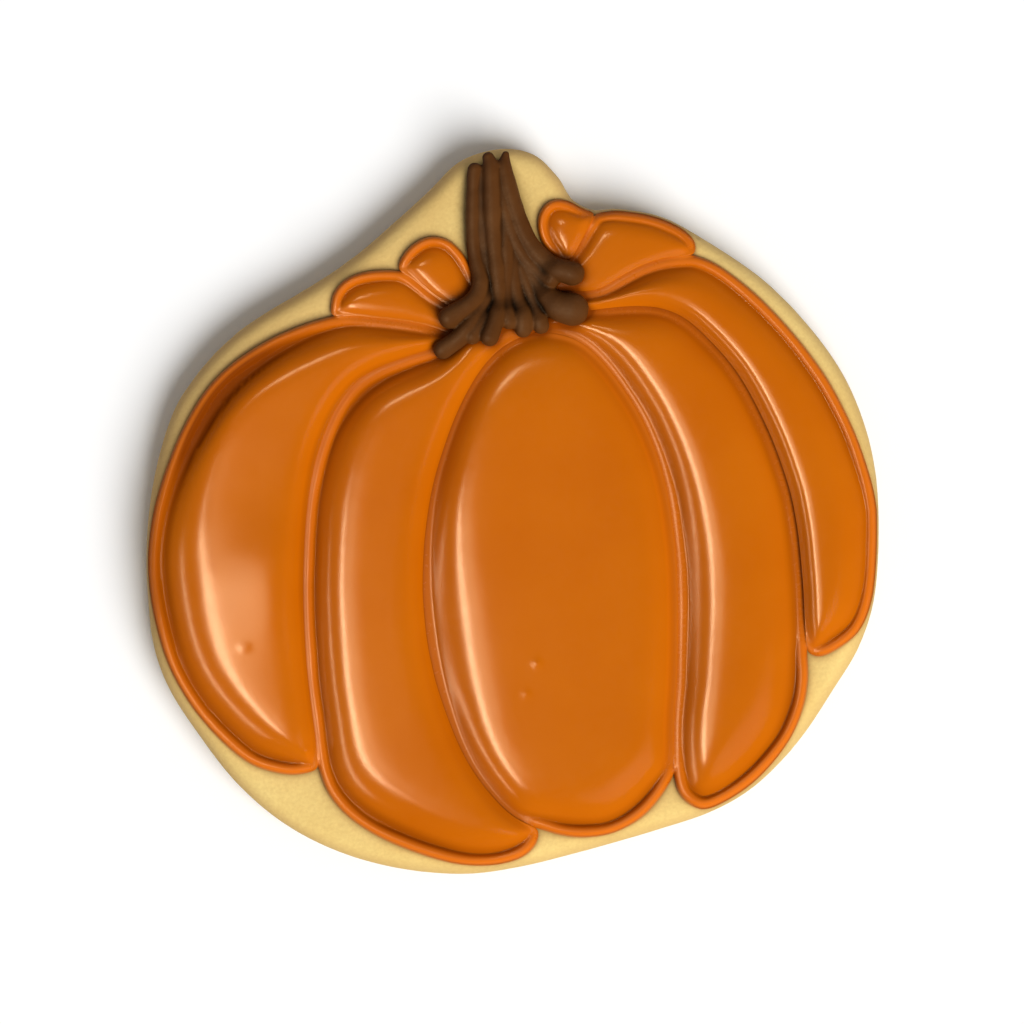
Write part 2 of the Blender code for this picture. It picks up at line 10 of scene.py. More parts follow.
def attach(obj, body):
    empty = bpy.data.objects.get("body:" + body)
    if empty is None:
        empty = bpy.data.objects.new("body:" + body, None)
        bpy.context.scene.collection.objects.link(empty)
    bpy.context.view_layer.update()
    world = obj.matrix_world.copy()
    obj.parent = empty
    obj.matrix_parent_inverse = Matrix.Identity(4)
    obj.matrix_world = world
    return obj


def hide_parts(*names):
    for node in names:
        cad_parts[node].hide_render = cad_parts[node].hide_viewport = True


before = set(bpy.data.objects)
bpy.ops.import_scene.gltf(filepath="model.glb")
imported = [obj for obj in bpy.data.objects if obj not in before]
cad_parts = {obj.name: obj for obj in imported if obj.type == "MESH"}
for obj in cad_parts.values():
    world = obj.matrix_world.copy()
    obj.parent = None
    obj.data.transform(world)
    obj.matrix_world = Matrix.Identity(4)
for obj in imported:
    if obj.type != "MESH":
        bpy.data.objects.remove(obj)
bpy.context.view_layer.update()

mm = 0.001
outlineStep = 0.4  # millimetres between the points of an outline
print("frame loaded:", ", ".join(sorted(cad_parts)))


# Curves and distances

def smoothLine(points, closed=False, steps=12):
    # Catmull-Rom curve through given points
    points = np.array(points, float)
    count = len(points)
    t = (np.arange(steps) / steps)[:, None]
    rows = []
    for i in range(count if closed else count - 1):
        if closed:
            a, b, c, d = (points[(i + k) % count] for k in (-1, 0, 1, 2))
        else:
            a, b, c, d = (points[min(max(i + k, 0), count - 1)] for k in (-1, 0, 1, 2))
        bend = (2 * a - 5 * b + 4 * c - d) * t ** 2 + (3 * b - a - 3 * c + d) * t ** 3
        rows.append(0.5 * (2 * b + (c - a) * t + bend))
    if not closed:
        rows.append(points[-1:])
    return np.vstack(rows)


def evenSteps(line, step, closed=False):
    # The same line with its points at even distances
    if closed:
        line = np.vstack((line, line[:1]))
    length = np.concatenate(([0.0], np.cumsum(np.linalg.norm(np.diff(line[:, :2], axis=0), axis=1))))
    count = max(2, round(length[-1] / step))
    places = np.linspace(0.0, length[-1], count + 1)
    if closed:
        places = places[:-1]
    return np.column_stack([np.interp(places, length, column) for column in line.T])


def inwardOf(outline):
    # At each point, the direction into an outline that runs anticlockwise
    along = np.roll(outline[:, :2], -1, axis=0) - np.roll(outline[:, :2], 1, axis=0)
    along /= np.linalg.norm(along, axis=1)[:, None]
    return np.column_stack((-along[:, 1], along[:, 0]))


def depthInside(points, outline, chunk=4000):
    # Distance inside a closed outline, less than zero outside it, and the nearest point of it
    start = outline[:, :2]
    side = np.roll(start, -1, axis=0) - start
    lengths = np.linalg.norm(side, axis=1)
    facing = np.column_stack((-side[:, 1], side[:, 0])) / lengths[:, None]
    cornerFacing = facing + np.roll(facing, 1, axis=0)
    depth = np.empty(len(points))
    nearest = np.empty(len(points), int)
    squares = (start ** 2).sum(1)
    for first in range(0, len(points), chunk):
        part = points[first:first + chunk, :2]
        corner = (squares - 2.0 * part @ start.T).argmin(1)
        best = np.full(len(part), np.inf)
        sign = np.ones(len(part))
        for before in (1, 0):
            i = (corner - before) % len(start)
            offset = part - start[i]
            share = np.clip((offset * side[i]).sum(1) / lengths[i] ** 2, 0.0, 1.0)
            away = offset - share[:, None] * side[i]
            distance = np.linalg.norm(away, axis=1)
            atCorner = share >= 1.0 if before else share <= 0.0
            normal = np.where(atCorner[:, None], cornerFacing[corner], facing[i])
            closer = distance < best - 1e-12
            sign = np.where(closer, np.sign((away * normal).sum(1)), sign)
            best = np.where(closer, distance, best)
        nearest[first:first + chunk] = corner
        depth[first:first + chunk] = best * np.where(sign == 0.0, 1.0, sign)
    return depth, nearest


def driftAt(points, size, seed):
    # Smooth random values from about -1 to 1, which change over about that size in millimetres
    return np.array([noise.noise(Vector((p[0] / size, p[1] / size, seed))) for p in points])


def smoothStep(low, high, value):
    t = np.clip((value - low) / (high - low), 0.0, 1.0)
    return t * t * (3.0 - 2.0 * t)


# The biscuit's form, the same as the solid's, with the slight unevenness of hand-rolled dough

biscuitShape = {
    "thickness": 7.0,
    "topRound": 2.2,
    "footRound": 0.9,
    "softFall": 0.35,
    "softFallReach": 4.0,
    "wave": (0.06, 9.0),  # height and size of the slow unevenness
    "ripple": (0.022, 1.7),
    "waveFull": 1.5,  # both grow to their full height over this distance from the rim
    "sideBulge": 0.18,
    "sideInset": 0.6,  # share of the bulge by which the side starts further in
    "sideWave": (0.10, 2.6),
}
rimPoints = (
    (-1.5, 44.5), (-6.4, 43.0), (-10.2, 39.4), (-13.8, 36.1), (-19.0, 31.6), (-24.0, 28.1), (-31.0, 23.9),
    (-35.3, 20.6), (-38.9, 16.6), (-41.6, 12.3), (-43.5, 6.5), (-44.6, 0.5), (-45.0, -5.5), (-44.8, -10.5),
    (-44.1, -16.5), (-42.2, -21.8), (-38.6, -27.4), (-34.0, -33.3), (-28.5, -38.1), (-22.0, -41.6),
    (-14.5, -43.8), (-6.4, -44.6), (0.5, -43.8), (8.3, -41.9), (17.0, -39.4), (24.5, -36.9), (30.0, -33.6),
    (35.2, -28.2), (39.5, -21.8), (42.5, -16.8), (44.4, -11.0), (45.0, -3.5), (44.7, 4.0), (43.3, 10.5),
    (40.5, 17.0), (36.0, 23.2), (30.3, 28.8), (23.0, 33.7), (18.1, 36.2), (13.2, 37.1), (9.9, 37.0),
    (7.2, 38.4), (5.4, 41.2), (2.6, 43.8),
)
rim = evenSteps(smoothLine(rimPoints, closed=True), outlineStep, closed=True)


def biscuitTop(depth):
    shape = biscuitShape
    intoRound = np.clip(shape["topRound"] - depth, 0.0, shape["topRound"])
    rounding = shape["topRound"] - np.sqrt(shape["topRound"] ** 2 - intoRound ** 2)
    fall = shape["softFall"] * np.exp(-np.maximum(depth, 0.0) / shape["softFallReach"])
    return shape["thickness"] - rounding - fall


# Edges of the iced sections: each is shared by the sections on its two sides

edgePoints = {
    "outer_1": ((-22.3, 23.8), (-26.0, 22.7), (-30.5, 20.6), (-34.5, 17.9), (-37.9, 14.3), (-40.8, 9.2),
                (-43.0, 3.5), (-44.3, -1.8), (-44.7, -7.0), (-44.0, -12.5), (-42.4, -18.2), (-39.8, -23.2),
                (-36.3, -27.5), (-32.2, -30.9), (-28.0, -32.2), (-25.4, -32.1), (-23.7, -31.6)),
    "outer_2": ((-23.7, -31.6), (-22.6, -34.5), (-20.4, -37.2), (-16.8, -39.7), (-12.0, -41.8),
                (-7.0, -43.2), (-2.5, -43.4), (1.0, -42.5), (2.9, -40.8), (3.3, -38.9)),
    "outer_3": ((3.3, -38.9), (6.0, -39.7), (9.0, -40.0), (12.5, -39.4), (15.8, -37.5), (18.2, -34.9),
                (19.8, -32.3)),
    "outer_4": ((19.8, -32.3), (20.3, -34.5), (21.7, -36.0), (23.7, -36.6), (27.0, -35.1), (30.5, -32.4),
                (33.7, -28.4), (35.6, -24.2), (36.2, -20.4), (36.0, -17.3)),
    "outer_5": ((36.0, -17.3), (37.4, -17.9), (39.6, -17.0), (42.4, -14.8), (44.0, -11.2), (44.8, -5.5),
                (44.7, 0.0), (43.5, 5.3), (41.3, 11.0), (38.0, 17.0), (34.0, 22.2), (29.5, 26.8),
                (25.2, 30.1), (22.3, 31.3)),
    "outer_b": ((22.3, 31.3), (22.5, 32.6), (21.6, 34.0), (19.0, 35.7), (16.0, 36.7), (13.0, 36.9),
                (10.2, 36.5)),
    "outer_a": ((10.2, 36.5), (8.3, 37.4), (6.2, 38.2), (4.4, 37.9), (3.3, 36.6), (3.0, 34.9), (3.4, 33.2),
                (4.4, 31.8), (6.4, 30.3)),
    "outer_c": ((-4.2, 27.0), (-4.9, 29.4), (-6.2, 31.7), (-8.0, 33.3), (-10.3, 33.6), (-12.4, 32.5),
                (-13.7, 30.9), (-14.1, 29.5)),
    "outer_d": ((-14.1, 29.5), (-17.3, 29.4), (-20.2, 28.5), (-22.0, 26.5), (-22.3, 23.8)),
    "seam_1d": ((-22.3, 23.8), (-19.5, 23.9), (-16.5, 23.6), (-13.0, 23.2), (-10.0, 22.6), (-7.0, 21.5)),
    "seam_cd": ((-14.1, 29.5), (-12.7, 28.8), (-11.2, 27.6), (-9.5, 26.2), (-7.0, 24.8), (-4.2, 24.4)),
    "seam_12": ((-7.0, 21.5), (-9.6, 20.0), (-13.0, 18.9), (-16.8, 17.4), (-19.7, 15.3), (-22.0, 11.8),
                (-23.9, 7.0), (-25.1, 1.0), (-25.6, -6.0), (-25.6, -13.0), (-25.1, -20.5), (-24.3, -26.8),
                (-23.7, -31.6)),
    "seam_23": ((3.2, 21.9), (1.0, 21.3), (-1.6, 19.8), (-4.0, 17.2), (-6.2, 13.4), (-8.2, 8.5),
                (-9.8, 3.0), (-10.8, -3.5), (-11.0, -10.5), (-10.2, -17.5), (-8.4, -24.2), (-5.6, -30.6),
                (-2.3, -35.2), (0.4, -37.6), (3.3, -38.9)),
    "seam_34": ((3.2, 21.9), (5.5, 21.6), (8.0, 20.8), (10.4, 18.9), (13.2, 15.4), (16.1, 10.6),
                (18.1, 5.5), (19.3, 0.0), (20.0, -6.0), (20.2, -13.0), (20.1, -20.0), (19.7, -26.5),
                (19.8, -32.3)),
    "seam_45": ((7.6, 24.3), (12.0, 24.9), (15.6, 25.1), (18.4, 24.8), (21.4, 23.4), (24.6, 20.5),
                (28.0, 16.2), (31.0, 10.6), (33.3, 4.8), (34.7, -1.0), (35.5, -8.0), (36.0, -17.3)),
    "seam_5b": ((4.8, 27.1), (7.6, 26.9), (10.6, 27.2), (13.2, 28.7), (15.8, 30.1), (18.6, 31.0),
                (22.3, 31.3)),
    "seam_ab": ((10.2, 36.5), (9.2, 34.7), (8.2, 32.8), (7.2, 31.0), (6.4, 30.3)),
    "inner_2": ((3.2, 21.9), (2.8, 23.4), (0.2, 24.0), (-2.4, 24.1), (-5.0, 23.2), (-7.0, 21.5)),
    "inner_4": ((7.6, 24.3), (5.6, 24.3), (3.9, 23.5), (3.2, 21.9)),
    "inner_5": ((4.8, 27.1), (5.3, 25.4), (7.6, 24.3)),
    "inner_b": ((6.4, 30.3), (5.1, 28.8), (4.8, 27.1)),
    "inner_c": ((-4.2, 24.4), (-3.8, 25.7), (-4.2, 27.0)),
    "inner_d": ((-7.0, 21.5), (-5.4, 22.9), (-4.2, 24.4)),
}

# Icing: how it is piped and flooded
icingShape = {
    "lift": 0.3,  # the solids' gap, filled here
    "lip": 0.3,  # least distance from the biscuit's rim
    "beadWidth": 1.5,
    "beadHeight": 1.0,
    "beadShoulder": 0.88,  # share of its height that a bead keeps where it touches the next section
    # Flood by a full bead: lowest height, how far in it starts, width of its shoulder
    "nearBead": (0.20, 1.40, 2.1),
    "nearSeam": (0.95, 0.0, 1.0),  # the same beside a section that was iced before
    "swell": 1.3,  # above 1 the flood starts level and then rises
    "thinByStem": (0.8, 24.8, 8.0, 0.5),  # x, y, radius and the share that is missing there
    "edgeRound": 0.32,  # how far in the rounded edge goes
    "edgeStart": 0.42,  # share of the height that stands at the very edge
    "seamStart": 0.95,
    "seamOverlap": 0.05,
    "wall": ((0.0, 0.62), (0.05, 0.34), (0.14, 0.12), (0.26, -0.05)),  # inset, share of the edge's height
    "cornerFade": 4,  # smoothing passes over the corners of an outline
    "beadFade": 50,  # the same where a bead runs out because the next edge has less of it
    "fieldSoft": 0.4,  # share of outlineStep over which the soft depth is rounded off at the outline
    # Amount and size of what the hand did unevenly
    "beadWaver": (0.10, 5.0),
    "floodWaver": ((0.04, 13.0), (0.012, 4.2)),
    "outlineWaver": (0.05, 5.0),
    # Masks for the colours, each from where it is nothing to where it is full
    "beadMask": (1.0, 0.7),  # depth in bead widths
    "contactDepth": (0.42, 0.05),
    "shadeByBead": 0.22,  # how dark the painted shade is in the groove between bead and flood
    "shadeDepth": (0.25, 0.75),  # depth in bead widths
    "shadeFlood": (0.35, 0.05),  # share of the flood's height
}
# What all ribs and all lobes share, and how much more painted shade the icing gets where it was shy
rib = {"flood": 2.45, "width": 1.0, "beadScale": 1.0, "shadeByShy": 0.05, "swells": (), "shy": ()}
lobe = {**rib, "flood": 1.3, "width": 0.5, "beadScale": 0.85}

# Edges run anticlockwise: name, direction, and how much of a piped bead stands along them.
# Swells are local rises and dips: x, y, radius and height. Where the icing was shy of the bead it starts
# further in: x, y, radius, how far, and how much wider its shoulder is there.
icedPieces = {
    "rib_far_left": {
        **rib, "shadeByShy": 0.95,
        "edges": (("outer_1", 1, 1.0), ("seam_12", -1, 0.0), ("seam_1d", -1, 0.7)),
        "swells": ((-29.0, -6.0, 6.0, 0.55), (-29.5, -13.0, 6.0, 0.35), (-32.7, -16.6, 0.65, 0.07),
                   (-25.1, -29.3, 0.5, 0.40)),
        "shy": ((-36.0, 14.0, 12.0, 1.25, -0.5), (-44.0, -9.0, 11.0, 0.45, 0.25),
                (-35.0, -27.0, 8.0, 0.1, 0.15))},
    "rib_left": {
        **rib, "shadeByShy": 0.5,
        "edges": (("outer_2", 1, 1.0), ("seam_23", -1, 0.0), ("inner_2", 1, 0.0), ("seam_12", 1, 0.9)),
        "shy": ((-18.0, 15.0, 6.0, 0.6, -0.2), (-16.0, -38.0, 9.0, 0.4, 0.1))},
    "rib_centre": {
        **rib,
        "edges": (("outer_3", 1, 1.0), ("seam_34", -1, 0.4), ("seam_23", 1, 0.5)),
        "swells": ((3.0, -18.6, 0.45, 0.16), (1.7, -22.3, 0.4, 0.09)),
        "shy": ((-9.0, -15.0, 13.0, 0.5, 0.8),)},
    "rib_right": {
        **rib,
        "edges": (("outer_4", 1, 1.0), ("seam_45", -1, 0.6), ("inner_4", 1, 0.0), ("seam_34", 1, 0.6)),
        "shy": ((22.0, -10.0, 14.0, 0.5, 0.35),)},
    "rib_far_right": {
        **rib,
        "edges": (("outer_5", 1, 0.9), ("seam_5b", -1, 0.8), ("inner_5", 1, 0.0), ("seam_45", 1, 0.0))},
    "lobe_back_right": {
        **lobe,
        "edges": (("outer_b", 1, 0.9), ("seam_ab", 1, 0.7), ("inner_b", 1, 0.0), ("seam_5b", 1, 0.0))},
    "lobe_small_right": {
        **lobe, "edges": (("outer_a", 1, 0.9), ("seam_ab", -1, 0.0))},
    "lobe_small_left": {
        **lobe, "edges": (("outer_c", 1, 1.0), ("seam_cd", 1, 0.2), ("inner_c", 1, 0.0))},
    "lobe_back_left": {
        **lobe,
        "edges": (("outer_d", 1, 1.0), ("seam_1d", 1, 0.2), ("inner_d", 1, 0.0), ("seam_cd", -1, 0.8))},
}


def sectionOutline(piece):
    # Points of a section's outline, how much bead stands there, and 1 where it touches another section
    shape = icingShape
    rows = []
    for name, direction, bead in piece["edges"]:
        line = smoothLine(edgePoints[name])[::direction][:-1]
        seam = float(name.startswith("seam"))
        rows.append(np.column_stack((line, np.full(len(line), bead), np.full(len(line), seam))))
    outline = evenSteps(np.vstack(rows), outlineStep, closed=True)
    for _ in range(shape["cornerFade"]):
        outline = (np.roll(outline, 1, axis=0) + 2 * outline + np.roll(outline, -1, axis=0)) / 4
    for _ in range(shape["beadFade"]):
        outline[:, 2] = (np.roll(outline[:, 2], 1) + 2 * outline[:, 2] + np.roll(outline[:, 2], -1)) / 4
    outline[:, :2] -= inwardOf(outline) * shape["seamOverlap"] * outline[:, 3:]
    waver, size = shape["outlineWaver"]
    outline[:, 0] += driftAt(outline, size, seed=3.1) * waver  # by place: both sides of a seam agree
    outline[:, 1] += driftAt(outline, size, seed=8.7) * waver
    depth, nearest = depthInside(outline, rim)
    outline[:, :2] += inwardOf(rim)[nearest] * np.clip(shape["lip"] - depth, 0.0, None)[:, None]
    return outline


def smoothDepth(points, outline, chunk=3000):
    # Depth inside the outline without creases where two edges are as near, and the bead's share near by.
    # Beside a straight edge the sum of 1 / distance ** 4 along it is pi / 2 / depth ** 3.
    line, points = outline.astype(np.float32), points.astype(np.float32)
    soft = icingShape["fieldSoft"] * outlineStep
    total = np.empty(len(points))
    beaded = np.empty(len(points))
    for first in range(0, len(points), chunk):
        part = points[first:first + chunk]
        square = (part[:, None, 0] - line[:, 0]) ** 2 + (part[:, None, 1] - line[:, 1]) ** 2
        weight = 1.0 / (square + soft ** 2) ** 2
        total[first:first + chunk] = weight.sum(1)
        beaded[first:first + chunk] = weight @ line[:, 2]
    return (total * outlineStep * 2.0 / math.pi) ** (-1.0 / 3.0), beaded / total


for piece in icedPieces.values():
    piece["outline"] = sectionOutline(piece)


def icingForm(points, piece):
    # Height of the icing over the biscuit, and masks: bead, painted shade along the edge on the biscuit,
    # painted shade in the groove beside a bead
    shape = icingShape
    outline = piece["outline"]
    depth, nearest = depthInside(points, outline)
    beadShare, seam = outline[nearest, 2], outline[nearest, 3]
    amount, size = shape["beadWaver"]
    waver = 1.0 + amount * driftAt(outline[nearest], size, seed=1.7)
    beadWidth = shape["beadWidth"] * piece["beadScale"]
    across = np.clip(depth / (beadWidth * waver), 0.0, 1.0) * 2.0 - 1.0
    arch = np.sqrt(1.0 - across ** 2)
    arch = np.where(across < 0.0, np.maximum(arch, shape["beadShoulder"] * seam), arch)
    bead = shape["beadHeight"] * piece["beadScale"] * beadShare * waver * arch

    inside, beaded = smoothDepth(points, outline)
    beaded = np.clip(beaded, 0.0, 1.0)
    low, start, width = (a + (b - a) * beaded for a, b in zip(shape["nearSeam"], shape["nearBead"]))
    start *= piece["beadScale"]
    # Painted shade: a darker band in the groove between bead and flood, wider where the icing was shy
    paintedShade = np.full(len(points), shape["shadeByBead"])
    for x, y, radius, further, wider in piece["shy"]:
        near = np.exp(-((points[:, 0] - x) ** 2 + (points[:, 1] - y) ** 2) / radius ** 2)
        start += further * near
        width *= 1.0 + wider * near
        paintedShade += further * near * piece["shadeByShy"]
    rise = np.maximum(inside - start, 0.0) / (width * piece["width"])
    flood = 1.0 - np.exp(-rise ** shape["swell"])
    cushion = low + (piece["flood"] - low) * flood
    for amount, size in shape["floodWaver"]:
        cushion += driftAt(points, size, seed=5.0 + size) * amount * flood
    for x, y, radius, height in piece["swells"]:
        away = np.hypot(points[:, 0] - x, points[:, 1] - y) / radius
        cushion += height * flood * np.exp(-away ** 2)
    x, y, radius, missing = shape["thinByStem"]
    byStem = np.exp(-((points[:, 0] - x) ** 2 + (points[:, 1] - y) ** 2) / radius ** 2)
    height = np.maximum(bead, cushion) * (1.0 - missing * byStem)
    inward = np.clip(depth / shape["edgeRound"], 0.0, 1.0)
    edge = shape["edgeStart"] + (shape["seamStart"] - shape["edgeStart"]) * seam
    height *= edge + (1.0 - edge) * np.sqrt(1.0 - (1.0 - inward) ** 2)
    beadMask = beadShare * smoothStep(*shape["beadMask"], depth / beadWidth)
    # Painted shade along the icing's edge where it stands on the biscuit
    contact = (1.0 - seam) * smoothStep(*shape["contactDepth"], depth)
    paintedShade *= smoothStep(*shape["shadeFlood"], flood) * smoothStep(*shape["shadeDepth"], depth / beadWidth)
    paintedShade *= beaded
    return height, {"bead": beadMask, "contact": contact, "paintedShade": np.clip(paintedShade, 0.0, 1.0)}


def icingTop(points, piece):
    return biscuitTop(depthInside(points, rim)[0]) + icingShape["lift"] + icingForm(points, piece)[0]


# Stem: strands piped one over another

stemShape = {
    "flat": 0.55,  # share of its rise that a strand also goes down below its middle line
    "fullRound": 1.25,  # strands wider than this spread sideways and rise less
    "wideRise": 0.35,
    "sides": 28,
    "step": 0.35,
    "capRows": (0.25, 0.5, 0.7, 0.85, 0.95),  # rings of a strand's round end, in shares of its half width
    "sink": 0.15,  # how far under its CAD place each strand settles
    "reaches": (0.0, 0.35, 0.7, 1.0),  # where a strand feels what is under it, in shares of its half width
    "reachAngles": 12,
    "settle": 6,  # passes that lay a strand smoothly over the gaps
    "waver": (0.07, 1.6),
    "seedStep": 7.3,  # keeps the wavers of the strands apart
    "voxel": 0.16,
    "melt": 4,  # smoothing passes that fuse neighbouring strands
    # From the tip down: x, y and half width at each point, then how much the strand is lifted
    "strands": (
        (((-4.6, 41.7, 0.95), (-4.75, 38.0, 1.0), (-4.75, 33.5, 1.0), (-4.4, 30.6, 1.0), (-3.9, 28.3, 1.05),
          (-4.3, 26.3, 1.15), (-5.7, 24.8, 1.3), (-7.7, 23.6, 1.4)), 0.1),
        (((-2.95, 43.2, 0.75), (-2.65, 42.0, 1.0), (-2.55, 39.0, 1.15), (-2.4, 35.0, 1.15),
          (-2.2, 32.0, 1.1), (-1.85, 29.0, 1.1), (-1.6, 26.0, 1.05), (-1.9, 23.8, 1.05),
          (-2.8, 21.2, 1.15)), 0.45),
        (((-3.6, 41.0, 0.95), (-3.6, 36.0, 1.0), (-3.3, 31.0, 1.0), (-2.9, 28.2, 1.0), (-3.4, 25.8, 1.05),
          (-4.6, 23.4, 1.1), (-6.3, 21.3, 1.15), (-8.5, 19.7, 1.2)), 0.0),
        (((-2.4, 27.5, 0.8), (-2.8, 25.0, 0.9), (-3.7, 22.8, 0.95), (-4.9, 21.3, 1.0)), 0.0),
        (((-0.9, 35.5, 0.95), (-0.7, 31.0, 1.1), (-0.8, 27.5, 1.05), (-0.7, 25.0, 1.0),
          (-0.4, 23.1, 0.95)), 0.15),
        (((0.2, 31.5, 0.9), (0.2, 28.5, 1.05), (0.6, 26.0, 1.1), (1.25, 24.0, 1.15),
          (1.3, 22.2, 1.05)), 0.0),
        (((1.0, 29.8, 0.8), (1.7, 28.0, 0.9), (2.4, 26.2, 0.95), (3.0, 24.4, 1.05),
          (3.5, 22.6, 1.0)), 0.25),
        (((0.6, 32.0, 0.9), (1.7, 29.8, 1.0), (3.0, 27.9, 1.15), (4.4, 26.1, 1.45), (5.8, 25.0, 1.85),
          (7.3, 24.6, 2.05)), 0.0),
        (((-0.85, 43.6, 0.5), (-1.0, 42.3, 0.9), (-0.8, 41.0, 1.0), (-0.1, 38.2, 1.1), (0.8, 35.4, 1.15),
          (1.8, 33.2, 1.15), (3.2, 31.3, 1.2), (5.1, 29.7, 1.35), (7.3, 29.0, 1.55)), 0.2),
        (((-1.7, 42.0, 0.9), (-1.3, 38.8, 1.1), (-0.5, 35.5, 1.15), (0.5, 32.8, 1.15), (1.7, 30.8, 1.1),
          (3.3, 29.2, 1.15), (4.7, 28.3, 1.1)), 0.0),
    ),
}


# One map of the whole top: what the strands settle on, and how deep each point lies in a hollow, for the
# painted shade there

topMap = {
    "half": 47.0,
    "step": 0.25,
    "nearBlur": 0.55,
    "wideBlur": 1.5,
    "stemArea": (12.0, 16.0),  # half width, and the lowest y, of where strands lie
}


def mapPoints():
    line = np.arange(-topMap["half"], topMap["half"] + topMap["step"] / 2, topMap["step"])
    x, y = np.meshgrid(line, line, indexing="ij")
    return np.column_stack((x.ravel(), y.ravel())), len(line)


def mapGround():
    # Height of the biscuit, or of the icing on it
    points, count = mapPoints()
    depth = depthInside(points, rim)[0]
    level = np.where(depth > 0.0, biscuitTop(depth), 0.0)
    for piece in icedPieces.values():
        low, high = piece["outline"][:, :2].min(0), piece["outline"][:, :2].max(0)
        near = np.flatnonzero(((points > low) & (points < high)).all(1))
        near = near[depthInside(points[near], piece["outline"])[0] > 0.0]
        level[near] = icingTop(points[near], piece)
    topMap["ground"] = level.reshape(count, count)


def mapAt(points, kind):
    # Value of the map between its grid points
    place = (points[:, :2] + topMap["half"]) / topMap["step"]
    corner = np.clip(place.astype(int), 0, len(topMap[kind]) - 2)
    sx, sy = (place - corner).T
    i, j = corner.T
    grid = topMap[kind]
    return (grid[i, j] * (1 - sx) * (1 - sy) + grid[i + 1, j] * sx * (1 - sy)
            + grid[i, j + 1] * (1 - sx) * sy + grid[i + 1, j + 1] * sx * sy)


def strandRise(radius):
    # How high a strand of that half width rises over its middle line
    fullRound = stemShape["fullRound"]
    return np.minimum(radius, fullRound) + stemShape["wideRise"] * np.maximum(radius - fullRound, 0.0)


def strandPath(points, lift):
    # Middle line of a strand with its half width, settled on what it crosses
    shape = stemShape
    path = evenSteps(smoothLine(points), shape["step"])
    angles = np.linspace(0.0, 2.0 * math.pi, shape["reachAngles"], endpoint=False)
    heights = np.full(len(path), -1.0)
    for reach in shape["reaches"]:
        drop = min(math.sqrt(1.0 - reach ** 2), shape["flat"])
        for angle in angles:
            under = path[:, :2] + np.array((math.cos(angle), math.sin(angle))) * path[:, 2:3] * reach
            heights = np.maximum(heights, mapAt(under, "ground") + drop * strandRise(path[:, 2]))
    for _ in range(shape["settle"]):
        padded = np.pad(heights, 1, mode="edge")
        heights = np.maximum(heights, (padded[:-2] + padded[2:]) / 2)
    return np.column_stack((path, heights + icingShape["lift"] + lift - shape["sink"]))


def blurred(grid, sigma):
    # Gaussian blur, first along one side of the grid and then along the other
    reach = math.ceil(3.0 * sigma)
    kernel = np.exp(-0.5 * (np.arange(-reach, reach + 1) / sigma) ** 2)
    kernel /= kernel.sum()
    for _ in range(2):
        padded = np.pad(grid, ((reach, reach), (0, 0)), mode="edge")
        grid = sum(weight * padded[i:i + len(grid)] for i, weight in enumerate(kernel)).T
    return grid


def mapHollows():
    # Adds the strands to the ground, then blurs it into the level round each point
    points, count = mapPoints()
    level = topMap["ground"].ravel()
    halfWidth, lowest = topMap["stemArea"]
    near = np.flatnonzero((np.abs(points[:, 0]) < halfWidth) & (points[:, 1] > lowest))
    for path in stemPaths:
        away = np.hypot(points[near, None, 0] - path[::2, 0], points[near, None, 1] - path[::2, 1])
        arch = np.sqrt(np.maximum(1.0 - (away / path[::2, 2]) ** 2, 0.0))
        crest = path[::2, 3] + strandRise(path[::2, 2]) * arch
        level[near] = np.maximum(level[near], np.where(away < path[::2, 2], crest, 0.0).max(1))
    grid = level.reshape(count, count)
    topMap["near"] = blurred(grid, topMap["nearBlur"] / topMap["step"])
    topMap["wide"] = blurred(grid, topMap["wideBlur"] / topMap["step"])


def hollows(corners):
    # How far each point lies under the level round it, close by and further off
    return {"hollow" + kind.title(): mapAt(corners, kind) - corners[:, 2] for kind in ("near", "wide")}


mapGround()
stemPaths = [strandPath(points, lift) for points, lift in stemShape["strands"]]
mapHollows()
print("strands settled and hollows mapped")


# Mesh building

meshRules = {
    "ringClear": 0.96,  # a ring keeps a point only where it really lies that deep, which trims corners
    "ringApart": 0.45,  # least distance between a ring's points, in steps of the outline
    "fillClear": 0.55,  # the fill starts this many of its own steps inside the last ring
}


def ringsAndFill(outline, depths, fill):
    # Points on an outline, on rings inside it, and on an even fill of triangles inside those
    points = [outline[:, :2]]
    normals = inwardOf(outline)
    step = np.linalg.norm(outline[1, :2] - outline[0, :2])
    for depth in depths:
        ring = outline[:, :2] + normals * depth
        keep = np.flatnonzero(depthInside(ring, outline)[0] > depth * meshRules["ringClear"])
        last = None
        for i in keep:
            if last is None or np.linalg.norm(ring[i] - ring[last]) > step * meshRules["ringApart"]:
                points.append(ring[i:i + 1])
                last = i
    low, high = outline[:, :2].min(0), outline[:, :2].max(0)
    for k, y in enumerate(np.arange(low[1] + fill / 2, high[1], fill * math.sqrt(3) / 2)):
        x = np.arange(low[0] + fill / 2 * (k % 2), high[0], fill)
        row = np.column_stack((x, np.full(len(x), y)))
        points.append(row[depthInside(row, outline)[0] > max(depths) + fill * meshRules["fillClear"]])
    return np.vstack(points)


def sheetOver(points, count):
    # Triangles inside the outline, which is the first count points, and where those points are now
    edges = [(i, (i + 1) % count) for i in range(count)]
    corners, _, faces, origins, _, _ = delaunay_2d_cdt([tuple(p) for p in points], edges, [], 1, 1e-5)
    flat = np.array([tuple(c) for c in corners])
    place = {old: new for new, olds in enumerate(origins) for old in olds}
    faces = np.array(faces)
    ab, ac = flat[faces[:, 1]] - flat[faces[:, 0]], flat[faces[:, 2]] - flat[faces[:, 0]]
    away = ab[:, 0] * ac[:, 1] - ab[:, 1] * ac[:, 0] < 0.0
    faces[away] = faces[away][:, ::-1]
    return flat, [tuple(face) for face in faces.tolist()], [place[i] for i in range(count)]


